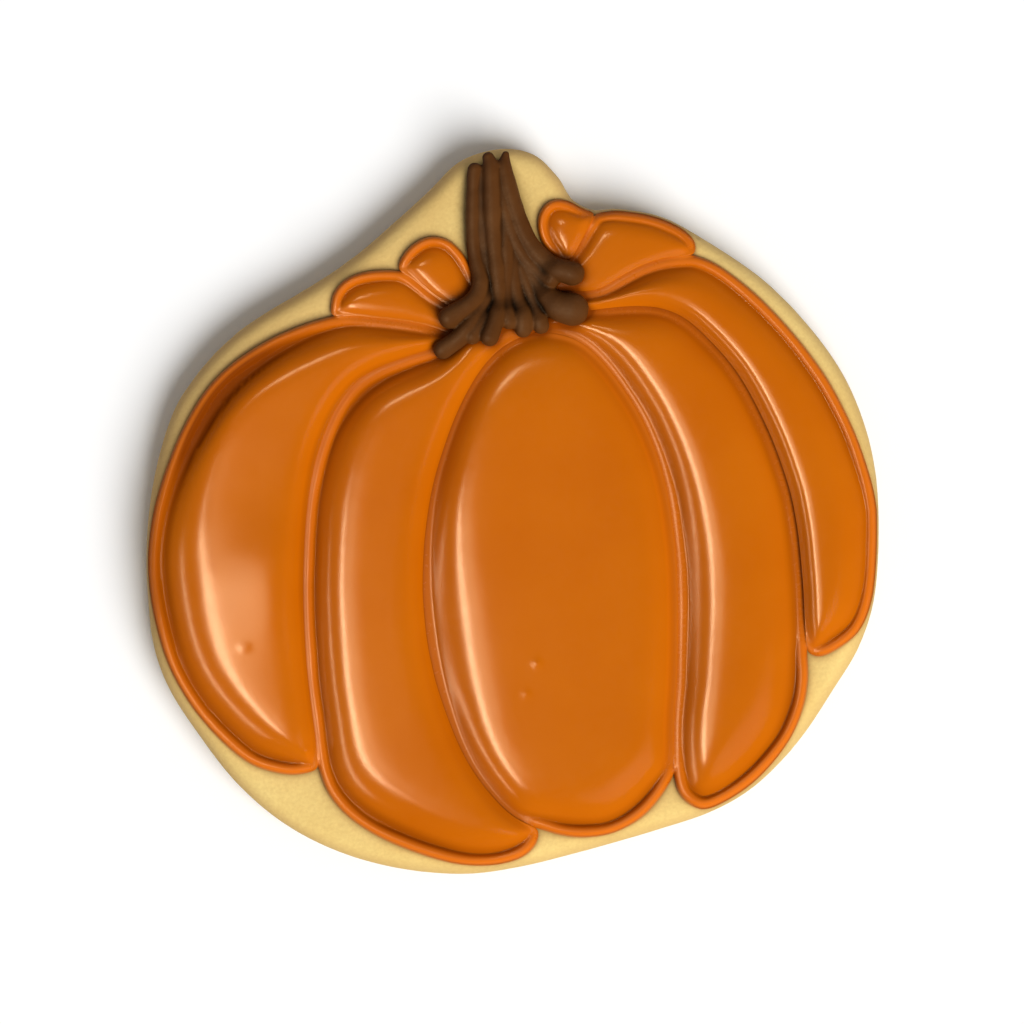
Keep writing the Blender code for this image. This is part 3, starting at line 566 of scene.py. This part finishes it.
def meshPiece(name, corners, faces, material, masks):
    mesh = bpy.data.meshes.new(name)
    mesh.from_pydata([tuple(c) for c in corners * mm], [], faces)
    for key, values in masks.items():
        mesh.attributes.new(key, "FLOAT", "POINT").data.foreach_set("value", np.array(values, np.float32))
    mesh.materials.append(material)
    mesh.shade_smooth()
    thing = bpy.data.objects.new(name, mesh)
    bpy.context.scene.collection.objects.link(thing)
    return thing


def sheetWithSide(upper, upperFaces, edge, wallRings):
    # An upper sheet with rings of points down its side; its base is still open at the last ring
    rings = [np.array(edge)]
    corners = [upper]
    start = len(upper)
    count = len(edge)
    faces = list(upperFaces)
    for ring in wallRings:
        corners.append(ring)
        rings.append(np.arange(start, start + count))
        start += count
    for above, below in zip(rings, rings[1:]):
        for i in range(count):
            j = (i + 1) % count
            faces.append((below[i], below[j], above[j], above[i]))
    return corners, faces, rings[-1], start


# Materials

def newGroup(name, inputs, outputs):
    tree = bpy.data.node_groups.new(name, "ShaderNodeTree")
    for label, kind, value in inputs:
        socket = tree.interface.new_socket(label, in_out="INPUT", socket_type=kind)
        socket.default_value = value
    for label, kind in outputs:
        tree.interface.new_socket(label, in_out="OUTPUT", socket_type=kind)
    return tree, tree.nodes.new("NodeGroupInput"), tree.nodes.new("NodeGroupOutput")


def addNode(tree, kind, **settings):
    node = tree.nodes.new(kind)
    for key, value in settings.items():
        if key in node.inputs:
            node.inputs[key].default_value = value
        else:
            setattr(node, key, value)
    return node


def feed(tree, socket, value):
    # Numbers and colours are set on the socket, anything else is linked to it
    if isinstance(value, tuple):
        socket.default_value = (*value, 1.0)
    elif isinstance(value, (int, float)):
        socket.default_value = value
    else:
        tree.links.new(value, socket)


def maths(tree, operation, a, b, clamp=False):
    node = tree.nodes.new("ShaderNodeMath")
    node.operation = operation
    node.use_clamp = clamp
    for socket, value in zip(node.inputs, (a, b)):
        feed(tree, socket, value)
    return node.outputs[0]


def blendColours(tree, factor, a, b):
    node = addNode(tree, "ShaderNodeMix", data_type="RGBA")
    for place, value in ((0, factor), (6, a), (7, b)):  # the mix node's factor and its two colours
        feed(tree, node.inputs[place], value)
    return node.outputs[2]


def maskOf(tree, name):
    # What one of the masks that are stored on a piece says at each point
    return addNode(tree, "ShaderNodeAttribute", attribute_name=name).outputs["Fac"]


def makeMottle():
    # Slow drift and fine speckle, both from 0 to 1, for every finish; the sizes are in millimetres
    tree, given, out = newGroup("mottle", (("Drift Size", "NodeSocketFloat", 12.0),
                                          ("Speckle Size", "NodeSocketFloat", 0.5)),
                                (("Drift", "NodeSocketFloat"), ("Speckle", "NodeSocketFloat")))
    place = tree.nodes.new("ShaderNodeTexCoord")
    for label, detail, result in (("Drift Size", 3.0, "Drift"), ("Speckle Size", 2.0, "Speckle")):
        cloud = addNode(tree, "ShaderNodeTexNoise", Detail=detail, Roughness=0.55)
        scale = maths(tree, "DIVIDE", 1.0 / mm, given.outputs[label])
        tree.links.new(place.outputs["Object"], cloud.inputs["Vector"])
        tree.links.new(scale, cloud.inputs["Scale"])
        spread = addNode(tree, "ShaderNodeMapRange")  # noise hardly leaves this range
        spread.inputs["From Min"].default_value = 0.3
        spread.inputs["From Max"].default_value = 0.7
        tree.links.new(cloud.outputs["Fac"], spread.inputs["Value"])
        tree.links.new(spread.outputs["Result"], out.inputs[result])
    return tree


def makeHollowShade():
    # Painted shade: darker, deeper colour where a surface lies in a hollow, from the map of the whole top
    tree, given, out = newGroup("hollowShade", (("Color", "NodeSocketColor", (1, 1, 1, 1)),
                                               ("Hollow Color", "NodeSocketColor", (0, 0, 0, 1)),
                                               ("Near", "NodeSocketFloat", 1.0),
                                               ("Wide", "NodeSocketFloat", 1.0)),
                                (("Color", "NodeSocketColor"), ("Mask", "NodeSocketFloat")))
    nearPart = maths(tree, "MULTIPLY", maskOf(tree, "hollowNear"), given.outputs["Near"])
    widePart = maths(tree, "MULTIPLY", maskOf(tree, "hollowWide"), given.outputs["Wide"])
    mask = maths(tree, "ADD", nearPart, widePart, clamp=True)
    mixed = blendColours(tree, mask, given.outputs["Color"], given.outputs["Hollow Color"])
    tree.links.new(mixed, out.inputs["Color"])
    tree.links.new(mask, out.inputs["Mask"])
    return tree


def makeFineRelief():
    # Soft pits and grain too fine for the mesh, as a normal; sizes and depths are in millimetres
    tree, given, out = newGroup("fineRelief", (("Grain Size", "NodeSocketFloat", 0.4),
                                              ("Grain Depth", "NodeSocketFloat", 0.02),
                                              ("Pit Size", "NodeSocketFloat", 2.0),
                                              ("Pit Depth", "NodeSocketFloat", 0.02)),
                                (("Normal", "NodeSocketVector"),))
    place = tree.nodes.new("ShaderNodeTexCoord")
    grain = addNode(tree, "ShaderNodeTexNoise", Detail=3.0, Roughness=0.6)
    pits = addNode(tree, "ShaderNodeTexNoise", Detail=1.0, Roughness=0.4)
    for node, label in ((grain, "Grain Size"), (pits, "Pit Size")):
        tree.links.new(place.outputs["Object"], node.inputs["Vector"])
        tree.links.new(maths(tree, "DIVIDE", 1.0 / mm, given.outputs[label]), node.inputs["Scale"])
    grainPart = maths(tree, "MULTIPLY", grain.outputs["Fac"], given.outputs["Grain Depth"])
    pitPart = maths(tree, "MULTIPLY", pits.outputs["Fac"], given.outputs["Pit Depth"])
    bump = addNode(tree, "ShaderNodeBump", Strength=1.0, Distance=mm)
    tree.links.new(maths(tree, "ADD", grainPart, pitPart), bump.inputs["Height"])
    tree.links.new(bump.outputs["Normal"], out.inputs["Normal"])
    return tree


mottle = makeMottle()
hollowShade = makeHollowShade()
fineRelief = makeFineRelief()

icingLook = {
    "flood": (0.54, 0.115, 0.0002),
    "floodPale": (0.58, 0.133, 0.001),
    "bead": (0.71, 0.153, 0.003),
    # Dark colour of the painted shade in hollows, along the edge on the biscuit and beside the beads
    "hollow": (0.21, 0.038, 0.001),
    "hollowNear": 0.8,
    "hollowWide": 0.48,
    "contactShare": 0.4,
    "roughness": (0.17, 0.22),
    "specular": 0.5,
    "beadRoughness": 0.12,  # added on the beads
    "hollowSpecular": -0.42,  # added in the grooves
    "shadeDull": 1.8,  # how far the painted shade beside a bead goes along with that
    "mottle": {"Drift_Size": 16.0, "Speckle_Size": 0.7},
    "relief": {"Grain_Size": 0.9, "Grain_Depth": 0.003, "Pit_Size": 3.0, "Pit_Depth": 0.012},
}
stemLook = {
    "brown": (0.082, 0.025, 0.004),
    "brownPale": (0.108, 0.037, 0.008),
    # Painted shade in the creases between strands
    "hollow": (0.012, 0.004, 0.001),
    "hollowNear": 3.4,
    "hollowWide": 0.2,
    "roughness": (0.44, 0.56),
    "specular": 0.2,
    "mottle": {"Drift_Size": 5.0, "Speckle_Size": 0.6},
    "relief": {"Grain_Size": 0.35, "Grain_Depth": 0.03, "Pit_Size": 1.6, "Pit_Depth": 0.02},
}
biscuitLook = {
    "crumb": (0.79, 0.55, 0.18),
    "crumbPale": (0.85, 0.62, 0.22),
    "baked": (0.55, 0.33, 0.11),
    "foot": (0.50, 0.27, 0.085),
    # Painted shade in the hollows of the biscuit
    "hollow": (0.42, 0.27, 0.085),
    "hollowNear": 0.9,
    "hollowWide": 0.35,
    # Painted shade beside the icing's edge
    "contact": (0.30, 0.13, 0.03),
    "contactShare": 0.65,
    "speckleShare": 0.25,  # how much of the baked colour a speckle has
    "footShare": (0.55, 1.0),  # the same for the foot, uneven along it
    "roughness": (0.75, 0.9),
    "mottle": {"Drift_Size": 9.0, "Speckle_Size": 0.45},
    "relief": {"Grain_Size": 0.4, "Grain_Depth": 0.06, "Pit_Size": 1.3, "Pit_Depth": 0.05},
}


def useGroup(tree, group, **values):
    node = tree.nodes.new("ShaderNodeGroup")
    node.node_tree = group
    for key, value in values.items():
        feed(tree, node.inputs[key.replace("_", " ")], value)
    return node


def newMaterial(name):
    material = bpy.data.materials.new(name)
    material.use_nodes = True
    return material, material.node_tree, material.node_tree.nodes["Principled BSDF"]


def spanValue(tree, value, low, high):
    # A value from 0 to 1, turned into one from low to high
    node = addNode(tree, "ShaderNodeMapRange")
    node.inputs["To Min"].default_value = low
    node.inputs["To Max"].default_value = high
    tree.links.new(value, node.inputs["Value"])
    return node.outputs["Result"]


def shadeHollows(tree, colour, look):
    return useGroup(tree, hollowShade, Color=colour, Hollow_Color=look["hollow"],
                    Near=look["hollowNear"], Wide=look["hollowWide"])


def darkenContact(tree, colour, dark, look):
    # Painted shade: darker where icing and biscuit touch
    share = maths(tree, "MULTIPLY", maskOf(tree, "contact"), look["contactShare"])
    return blendColours(tree, share, colour, dark)


def addRelief(tree, shader, look):
    relief = useGroup(tree, fineRelief, **look["relief"])
    tree.links.new(relief.outputs["Normal"], shader.inputs["Normal"])


def makeIcing():
    look = icingLook
    material, tree, shader = newMaterial("orangeIcing")
    cloud = useGroup(tree, mottle, **look["mottle"])
    bead, paintedShade = maskOf(tree, "bead"), maskOf(tree, "paintedShade")
    colour = blendColours(tree, cloud.outputs["Drift"], look["flood"], look["floodPale"])
    colour = blendColours(tree, bead, colour, look["bead"])
    # Painted shade in the hollows
    shade = shadeHollows(tree, colour, look)
    # Painted shade where the icing stands on the biscuit
    colour = darkenContact(tree, shade.outputs["Color"], look["hollow"], look)
    # painted shade in the groove beside a bead
    colour = blendColours(tree, paintedShade, colour, look["hollow"])
    tree.links.new(colour, shader.inputs["Base Color"])
    speckled = spanValue(tree, cloud.outputs["Speckle"], *look["roughness"])
    rougher = maths(tree, "MULTIPLY", bead, look["beadRoughness"])
    tree.links.new(maths(tree, "ADD", speckled, rougher), shader.inputs["Roughness"])
    shadeDull = maths(tree, "MULTIPLY", paintedShade, look["shadeDull"], clamp=True)
    sunken = maths(tree, "MAXIMUM", shade.outputs["Mask"], shadeDull)
    duller = maths(tree, "MULTIPLY", sunken, look["hollowSpecular"])
    tree.links.new(maths(tree, "ADD", duller, look["specular"]), shader.inputs["Specular IOR Level"])
    addRelief(tree, shader, look)
    return material


def makeStemIcing():
    look = stemLook
    material, tree, shader = newMaterial("brownIcing")
    cloud = useGroup(tree, mottle, **look["mottle"])
    colour = blendColours(tree, cloud.outputs["Drift"], look["brown"], look["brownPale"])
    # Painted shade in the creases between strands
    tree.links.new(shadeHollows(tree, colour, look).outputs["Color"], shader.inputs["Base Color"])
    speckled = spanValue(tree, cloud.outputs["Speckle"], *look["roughness"])
    tree.links.new(speckled, shader.inputs["Roughness"])
    shader.inputs["Specular IOR Level"].default_value = look["specular"]
    addRelief(tree, shader, look)
    return material


def makeCrumb():
    look = biscuitLook
    material, tree, shader = newMaterial("bakedBiscuit")
    cloud = useGroup(tree, mottle, **look["mottle"])
    colour = blendColours(tree, cloud.outputs["Drift"], look["crumb"], look["crumbPale"])
    speckle = maths(tree, "MULTIPLY", cloud.outputs["Speckle"], look["speckleShare"])
    colour = blendColours(tree, speckle, colour, look["baked"])
    # browning at the rim, and painted shade on the upper-left side
    colour = blendColours(tree, maskOf(tree, "baked"), colour, look["baked"])
    footShare = spanValue(tree, cloud.outputs["Drift"], *look["footShare"])
    footShare = maths(tree, "MULTIPLY", maskOf(tree, "foot"), footShare)
    colour = blendColours(tree, footShare, colour, look["foot"])
    # Painted shade in the hollows
    shade = shadeHollows(tree, colour, look)
    # Painted shade beside the icing
    colour = darkenContact(tree, shade.outputs["Color"], look["contact"], look)
    tree.links.new(colour, shader.inputs["Base Color"])
    speckled = spanValue(tree, cloud.outputs["Speckle"], *look["roughness"])
    tree.links.new(speckled, shader.inputs["Roughness"])
    addRelief(tree, shader, look)
    return material


orangeIcing = makeIcing()
brownIcing = makeStemIcing()
bakedBiscuit = makeCrumb()
print("finishes mixed")


# Icing pieces

icingMesh = {
    # Rings close together on the rounded edge and where the flood starts
    "depths": (0.03, 0.08, 0.15, 0.24, 0.36, 0.52, 0.72, 0.94, 1.14, 1.32, 1.46, 1.58, 1.72, 1.9, 2.15, 2.45),
    "fill": 0.42,
}


def makeIcingPiece(name, piece):
    outline = piece["outline"]
    count = len(outline)
    points, faces, edge = sheetOver(ringsAndFill(outline, icingMesh["depths"], icingMesh["fill"]), count)
    height, masks = icingForm(points, piece)
    base = biscuitTop(depthInside(points, rim)[0])
    upper = np.column_stack((points, base + icingShape["lift"] + height))
    normals = inwardOf(outline)
    edgeHeight = upper[edge, 2] - base[edge]
    rings = []
    for inset, share in icingShape["wall"]:
        place = outline[:, :2] + normals * inset
        rings.append(np.column_stack((place, base[edge] + edgeHeight * share)))
    corners, faces, last, _ = sheetWithSide(upper, faces, edge, rings)
    _, baseFaces, basePlace = sheetOver(outline[:, :2], count)
    back = {new: old for old, new in enumerate(basePlace)}
    faces += [(last[back[a]], last[back[c]], last[back[b]]) for a, b, c in baseFaces]
    corners = np.vstack(corners)
    for key, values in masks.items():
        masks[key] = np.concatenate((values, np.tile(values[edge], len(rings))))
    thing = meshPiece("icing_" + name, corners, faces, orangeIcing, {**masks, **hollows(corners)})
    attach(thing, "root")
    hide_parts(name)
    print(f"  {name}: {len(faces)} faces")


for name, piece in icedPieces.items():
    makeIcingPiece(name, piece)
print("icing poured")


# Stem

def strandTube(path, seed):
    # A closed tube along a strand's middle line, flattened below and rounded at both ends
    shape = stemShape
    rings = []
    along = np.gradient(path[:, :2], axis=0)
    along /= np.linalg.norm(along, axis=1)[:, None]
    amount, size = shape["waver"]
    for i, (x, y, radius, height) in enumerate(path):
        swell = 1.0 + amount * noise.noise(Vector((i * shape["step"] / size, seed, 0.0)))
        rings.append((np.array((x, y)), along[i], height, radius * swell))
    for end, way in ((0, -1.0), (-1, 1.0)):
        middle, ahead, height, radius = rings[end]
        cap = []
        for share in shape["capRows"]:
            place = middle + ahead * way * share * radius
            cap.append((place, ahead, height, radius * math.sqrt(1.0 - share ** 2)))
        rings = cap[::-1] + rings if way < 0 else rings + cap
    sides = shape["sides"]
    corners, faces = [], [tuple(range(sides))[::-1]]
    for middle, ahead, height, radius in rings:
        across = np.array((-ahead[1], ahead[0]))
        for k in range(sides):
            angle = 2.0 * math.pi * (k + 0.5) / sides
            rise = max(math.sin(angle), -shape["flat"]) * strandRise(radius)
            corners.append((*(middle + across * math.cos(angle) * radius), height + rise))
    for r in range(len(rings) - 1):
        for k in range(sides):
            a, b = r * sides + k, r * sides + (k + 1) % sides
            faces.append((a, b, b + sides, a + sides))
    faces.append(tuple(range((len(rings) - 1) * sides, len(rings) * sides)))
    return np.array(corners), [face[::-1] for face in faces]


def makeStem():
    shape = stemShape
    corners, faces, start = [], [], 0
    for number, path in enumerate(stemPaths):
        points, sides = strandTube(path, number * shape["seedStep"])
        corners.append(points)
        faces += [tuple(start + i for i in face) for face in sides]
        start += len(points)
    mesh = bpy.data.meshes.new("strands")
    mesh.from_pydata([tuple(c) for c in np.vstack(corners) * mm], [], faces)
    rough = bpy.data.objects.new("strands", mesh)
    bpy.context.scene.collection.objects.link(rough)
    fuse = rough.modifiers.new("fuse", "REMESH")
    fuse.mode = "VOXEL"
    fuse.voxel_size = shape["voxel"] * mm
    melt = rough.modifiers.new("melt", "SMOOTH")
    melt.factor = 0.5
    melt.iterations = shape["melt"]
    bpy.context.view_layer.update()
    fused = bpy.data.meshes.new_from_object(rough.evaluated_get(bpy.context.evaluated_depsgraph_get()))
    bpy.data.objects.remove(rough)
    points = np.empty(len(fused.vertices) * 3)
    fused.vertices.foreach_get("co", points)
    points = points.reshape(-1, 3) / mm
    sides = [tuple(polygon.vertices) for polygon in fused.polygons]
    thing = meshPiece("icing_stem", points, sides, brownIcing, hollows(points))
    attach(thing, "root")
    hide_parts("stem")
    print(f"stem piped: {len(sides)} faces")


makeStem()


# Biscuit

biscuitMesh = {
    "ringStep": 0.7,
    "depths": (0.04, 0.12, 0.25, 0.42, 0.65, 0.95, 1.3, 1.7, 2.2, 2.8, 3.4, 4.0, 4.7, 5.4, 6.2, 7.0, 7.8,
               8.6),
    "fill": 1.1,
    "beside": (0.05, 0.2, 0.42, 0.75),  # extra points this far from the icing's edges
    "besideClear": 0.9,  # share of the least of these that has to be free of other icing
    "besideRim": 0.15,
    "besideApart": 0.12,
    "besideFill": 0.9,  # the even fill stays this far from the icing's edges
    "sideRows": 12,
    "footAngles": (20, 40, 60, 76, 90),
    "underDepths": (0.5, 1.2, 2.2),
    "underFill": 1.6,  # times the fill on top
}
# Where the biscuit browned, where its upper-left side carries painted shade, and the painted shade beside the
# icing, each from where it is nothing to where it is full
biscuitBrowningAndShade = {
    "toward": 140.0,  # the side that is darkened most, painted shade
    "shadedSideDepth": (9.0, 0.0),
    "rimDepth": (1.6, 0.2),
    "rimHeight": (2.0, 6.0),
    "rimShare": 0.5,  # the painted shade on that side and the browning at the rim together make the full mask
    "footHeight": (2.2, 0.0),
    "contactReach": 0.24,  # how fast the shade beside the icing fades
    "topFrom": 0.6,  # share of the thickness from which a point counts as top
    "hollowFrom": 0.5,  # hollows are shaded from this far inside the rim
}


def icingAway(points):
    # Distance from each point to the nearest edge of the icing, less than zero under it
    return np.min([-depthInside(points, piece["outline"])[0] for piece in icedPieces.values()], axis=0)


def besideIcing(outline):
    # Points close beside the icing, where the painted shade on the biscuit goes
    rows = []
    for piece in icedPieces.values():
        edge = piece["outline"]
        normals = inwardOf(edge)
        for away in biscuitMesh["beside"]:
            rows.append(edge[:, :2] - normals * away)
    rows = np.vstack(rows)
    free = icingAway(rows) > biscuitMesh["beside"][0] * biscuitMesh["besideClear"]
    rows = rows[free & (depthInside(rows, outline)[0] > biscuitMesh["besideRim"])]
    kept = []
    for row in rows:
        if not kept or np.min(np.hypot(*(np.array(kept) - row).T)) > biscuitMesh["besideApart"]:
            kept.append(row)
    return np.array(kept)


def makeBiscuit():
    shape, build, toneRules = biscuitShape, biscuitMesh, biscuitBrowningAndShade
    outline = evenSteps(rim, build["ringStep"], closed=True)
    points = ringsAndFill(outline, build["depths"], build["fill"])
    inner = points[len(outline):]
    inner = inner[icingAway(inner) > build["besideFill"]]
    points = np.vstack((points[:len(outline)], inner, besideIcing(outline)))
    flat, topFaces, topEdge = sheetOver(points, len(outline))
    depth = depthInside(flat, outline)[0]
    height = biscuitTop(depth)
    for key, seed in (("wave", 2.0), ("ripple", 6.0)):
        amount, size = shape[key]
        height += driftAt(flat, size, seed) * amount * smoothStep(0.0, shape["waveFull"], depth)
    upper = np.column_stack((flat, height))

    # The side: a soft bulge from under the rounded top edge to the rounded foot
    normals = inwardOf(outline)
    top = height[topEdge]
    low = shape["footRound"]
    amount, size = shape["sideWave"]
    rings = []
    rows = [(top + (low - top) * k / build["sideRows"], 0.0) for k in range(1, build["sideRows"] + 1)]
    for angle in np.radians(build["footAngles"]):
        rows.append((np.full(len(top), low * (1.0 - math.sin(angle))), low * (1.0 - math.cos(angle))))
    for level, inset in rows:
        share = np.clip((level - low) / (top - low), 0.0, 1.0)
        waver = np.array([noise.noise(Vector((x / size, y / size, z / size)))
                          for (x, y), z in zip(outline[:, :2], level)])
        bulge = 4.0 * share * (1.0 - share) - shape["sideInset"]
        push = shape["sideBulge"] * bulge + amount * waver * np.sin(math.pi * share)
        rings.append(np.column_stack((outline[:, :2] + normals * (inset - push)[:, None], level)))
    corners, faces, last, total = sheetWithSide(upper, topFaces, topEdge, rings)

    # The underside is flat, so that the biscuit lies on it
    bottom = rings[-1][:, :2]
    underPoints = ringsAndFill(bottom, build["underDepths"], build["fill"] * build["underFill"])
    under, underFaces, underEdge = sheetOver(underPoints, len(bottom))
    back = {new: last[old] for old, new in enumerate(underEdge)}
    extra = [i for i in range(len(under)) if i not in back]
    back.update({i: total + k for k, i in enumerate(extra)})
    corners.append(np.column_stack((under[extra], np.zeros(len(extra)))))
    faces += [(back[a], back[c], back[b]) for a, b, c in underFaces]
    corners = np.vstack(corners)

    fromRim = depthInside(corners, outline)[0]
    onTop = corners[:, 2] > shape["thickness"] * toneRules["topFrom"]
    around = np.arctan2(corners[:, 1], corners[:, 0])
    # Painted shade: the upper-left side darker, added to the browning at the rim
    side = np.clip(np.cos(around - math.radians(toneRules["toward"])), 0.0, 1.0)
    side *= smoothStep(*toneRules["shadedSideDepth"], fromRim)
    edge = smoothStep(*toneRules["rimDepth"], fromRim) * smoothStep(*toneRules["rimHeight"], corners[:, 2])
    masks = {
        "baked": toneRules["rimShare"] * edge + (1.0 - toneRules["rimShare"]) * side,
        "foot": smoothStep(*toneRules["footHeight"], corners[:, 2]),
        # painted shade beside the icing
        "contact": np.exp(-np.maximum(icingAway(corners), 0.0) / toneRules["contactReach"]) * onTop,
    }
    for key, values in hollows(corners).items():
        masks[key] = values * (onTop & (fromRim > toneRules["hollowFrom"]))
    thing = meshPiece("cut_biscuit", corners, faces, bakedBiscuit, masks)
    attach(thing, "root")
    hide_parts("biscuit")
    print(f"biscuit baked: {len(faces)} faces")


makeBiscuit()


# Floor, light and camera

studio = {
    "floor": (0.93, 0.93, 0.93),
    "floorHalf": 1.5,
    "floorDrop": 0.00002,  # keeps floor and underside apart
    "floorRoughness": 0.9,
    "world": (1.0, 1.0, 1.0),
    "worldStrength": 0.24,
    # direction it comes from, angle above the floor, softness and strength: it lights without a highlight
    "sky": (-48.0, 52.0, 40.0, 3.45),
    # name, direction it comes from, angle above the floor, distance, width and height, power, colour
    "lamps": (
        ("windowHigh", 206.0, 65.5, 0.60, (0.31, 0.09), 1.58, (1.0, 0.75, 0.45)),
        ("windowLow", 206.0, 34.0, 0.60, (0.54, 0.05), 0.78, (1.0, 0.75, 0.45)),
        ("windowTop", 206.0, 76.0, 0.60, (0.19, 0.12), 0.30, (1.0, 0.73, 0.40)),
        ("windowFar", 121.0, 58.0, 0.60, (0.14, 0.05), 0.32, (1.0, 0.73, 0.40)),
    ),
    "cameraHeight": 0.70,
    "sensor": 36.0,
    "viewWidth": 0.1254,  # at the biscuit's top
    "viewMiddle": (-0.00006, -0.00012),
}


def makeStudio():
    scene = bpy.context.scene
    half = studio["floorHalf"]
    mesh = bpy.data.meshes.new("floor")
    floorCorners = [(-half, -half, 0), (half, -half, 0), (half, half, 0), (-half, half, 0)]
    mesh.from_pydata(floorCorners, [], [(0, 1, 2, 3)])
    floor = bpy.data.objects.new("floor", mesh)
    scene.collection.objects.link(floor)
    paper, _, shader = newMaterial("palePaper")
    shader.inputs["Base Color"].default_value = (*studio["floor"], 1.0)
    shader.inputs["Roughness"].default_value = studio["floorRoughness"]
    mesh.materials.append(paper)
    floor.location.z = -studio["floorDrop"]
    floor.visible_glossy = False

    world = bpy.data.worlds.new("studio")
    world.use_nodes = True
    background = world.node_tree.nodes["Background"]
    background.inputs["Color"].default_value = (*studio["world"], 1.0)
    background.inputs["Strength"].default_value = studio["worldStrength"]
    world.cycles_visibility.glossy = False  # the icing mirrors only the lamps
    scene.world = world

    def hang(name, lamp, around, above, distance):
        thing = bpy.data.objects.new(name, lamp)
        around, above = math.radians(around), math.radians(above)
        flat = math.cos(above)
        toward = Vector((math.cos(around) * flat, math.sin(around) * flat, math.sin(above)))
        thing.location = toward * distance
        thing.rotation_euler = toward.to_track_quat("Z", "Y").to_euler()
        scene.collection.objects.link(thing)
        return thing

    around, above, softness, strength = studio["sky"]
    lamp = bpy.data.lights.new("softSky", "SUN")
    lamp.angle = math.radians(softness)
    lamp.energy = strength
    hang("softSky", lamp, around, above, 1.0).visible_glossy = False
    for name, around, above, distance, size, power, colour in studio["lamps"]:
        lamp = bpy.data.lights.new(name, "AREA")
        lamp.shape = "ELLIPSE"
        lamp.size, lamp.size_y = size
        lamp.energy = power
        lamp.color = colour
        hang(name, lamp, around, above, distance).visible_diffuse = False

    camera = bpy.data.cameras.new("camera")
    camera.sensor_width = studio["sensor"]
    height = studio["cameraHeight"]
    camera.lens = studio["sensor"] * (height - biscuitShape["thickness"] * mm) / studio["viewWidth"]
    camera.clip_start = 0.01
    thing = bpy.data.objects.new("camera", camera)
    thing.location = (*studio["viewMiddle"], height)
    scene.collection.objects.link(thing)
    scene.camera = thing
    scene.view_settings.view_transform = "Standard"
    print("studio lit")


makeStudio()
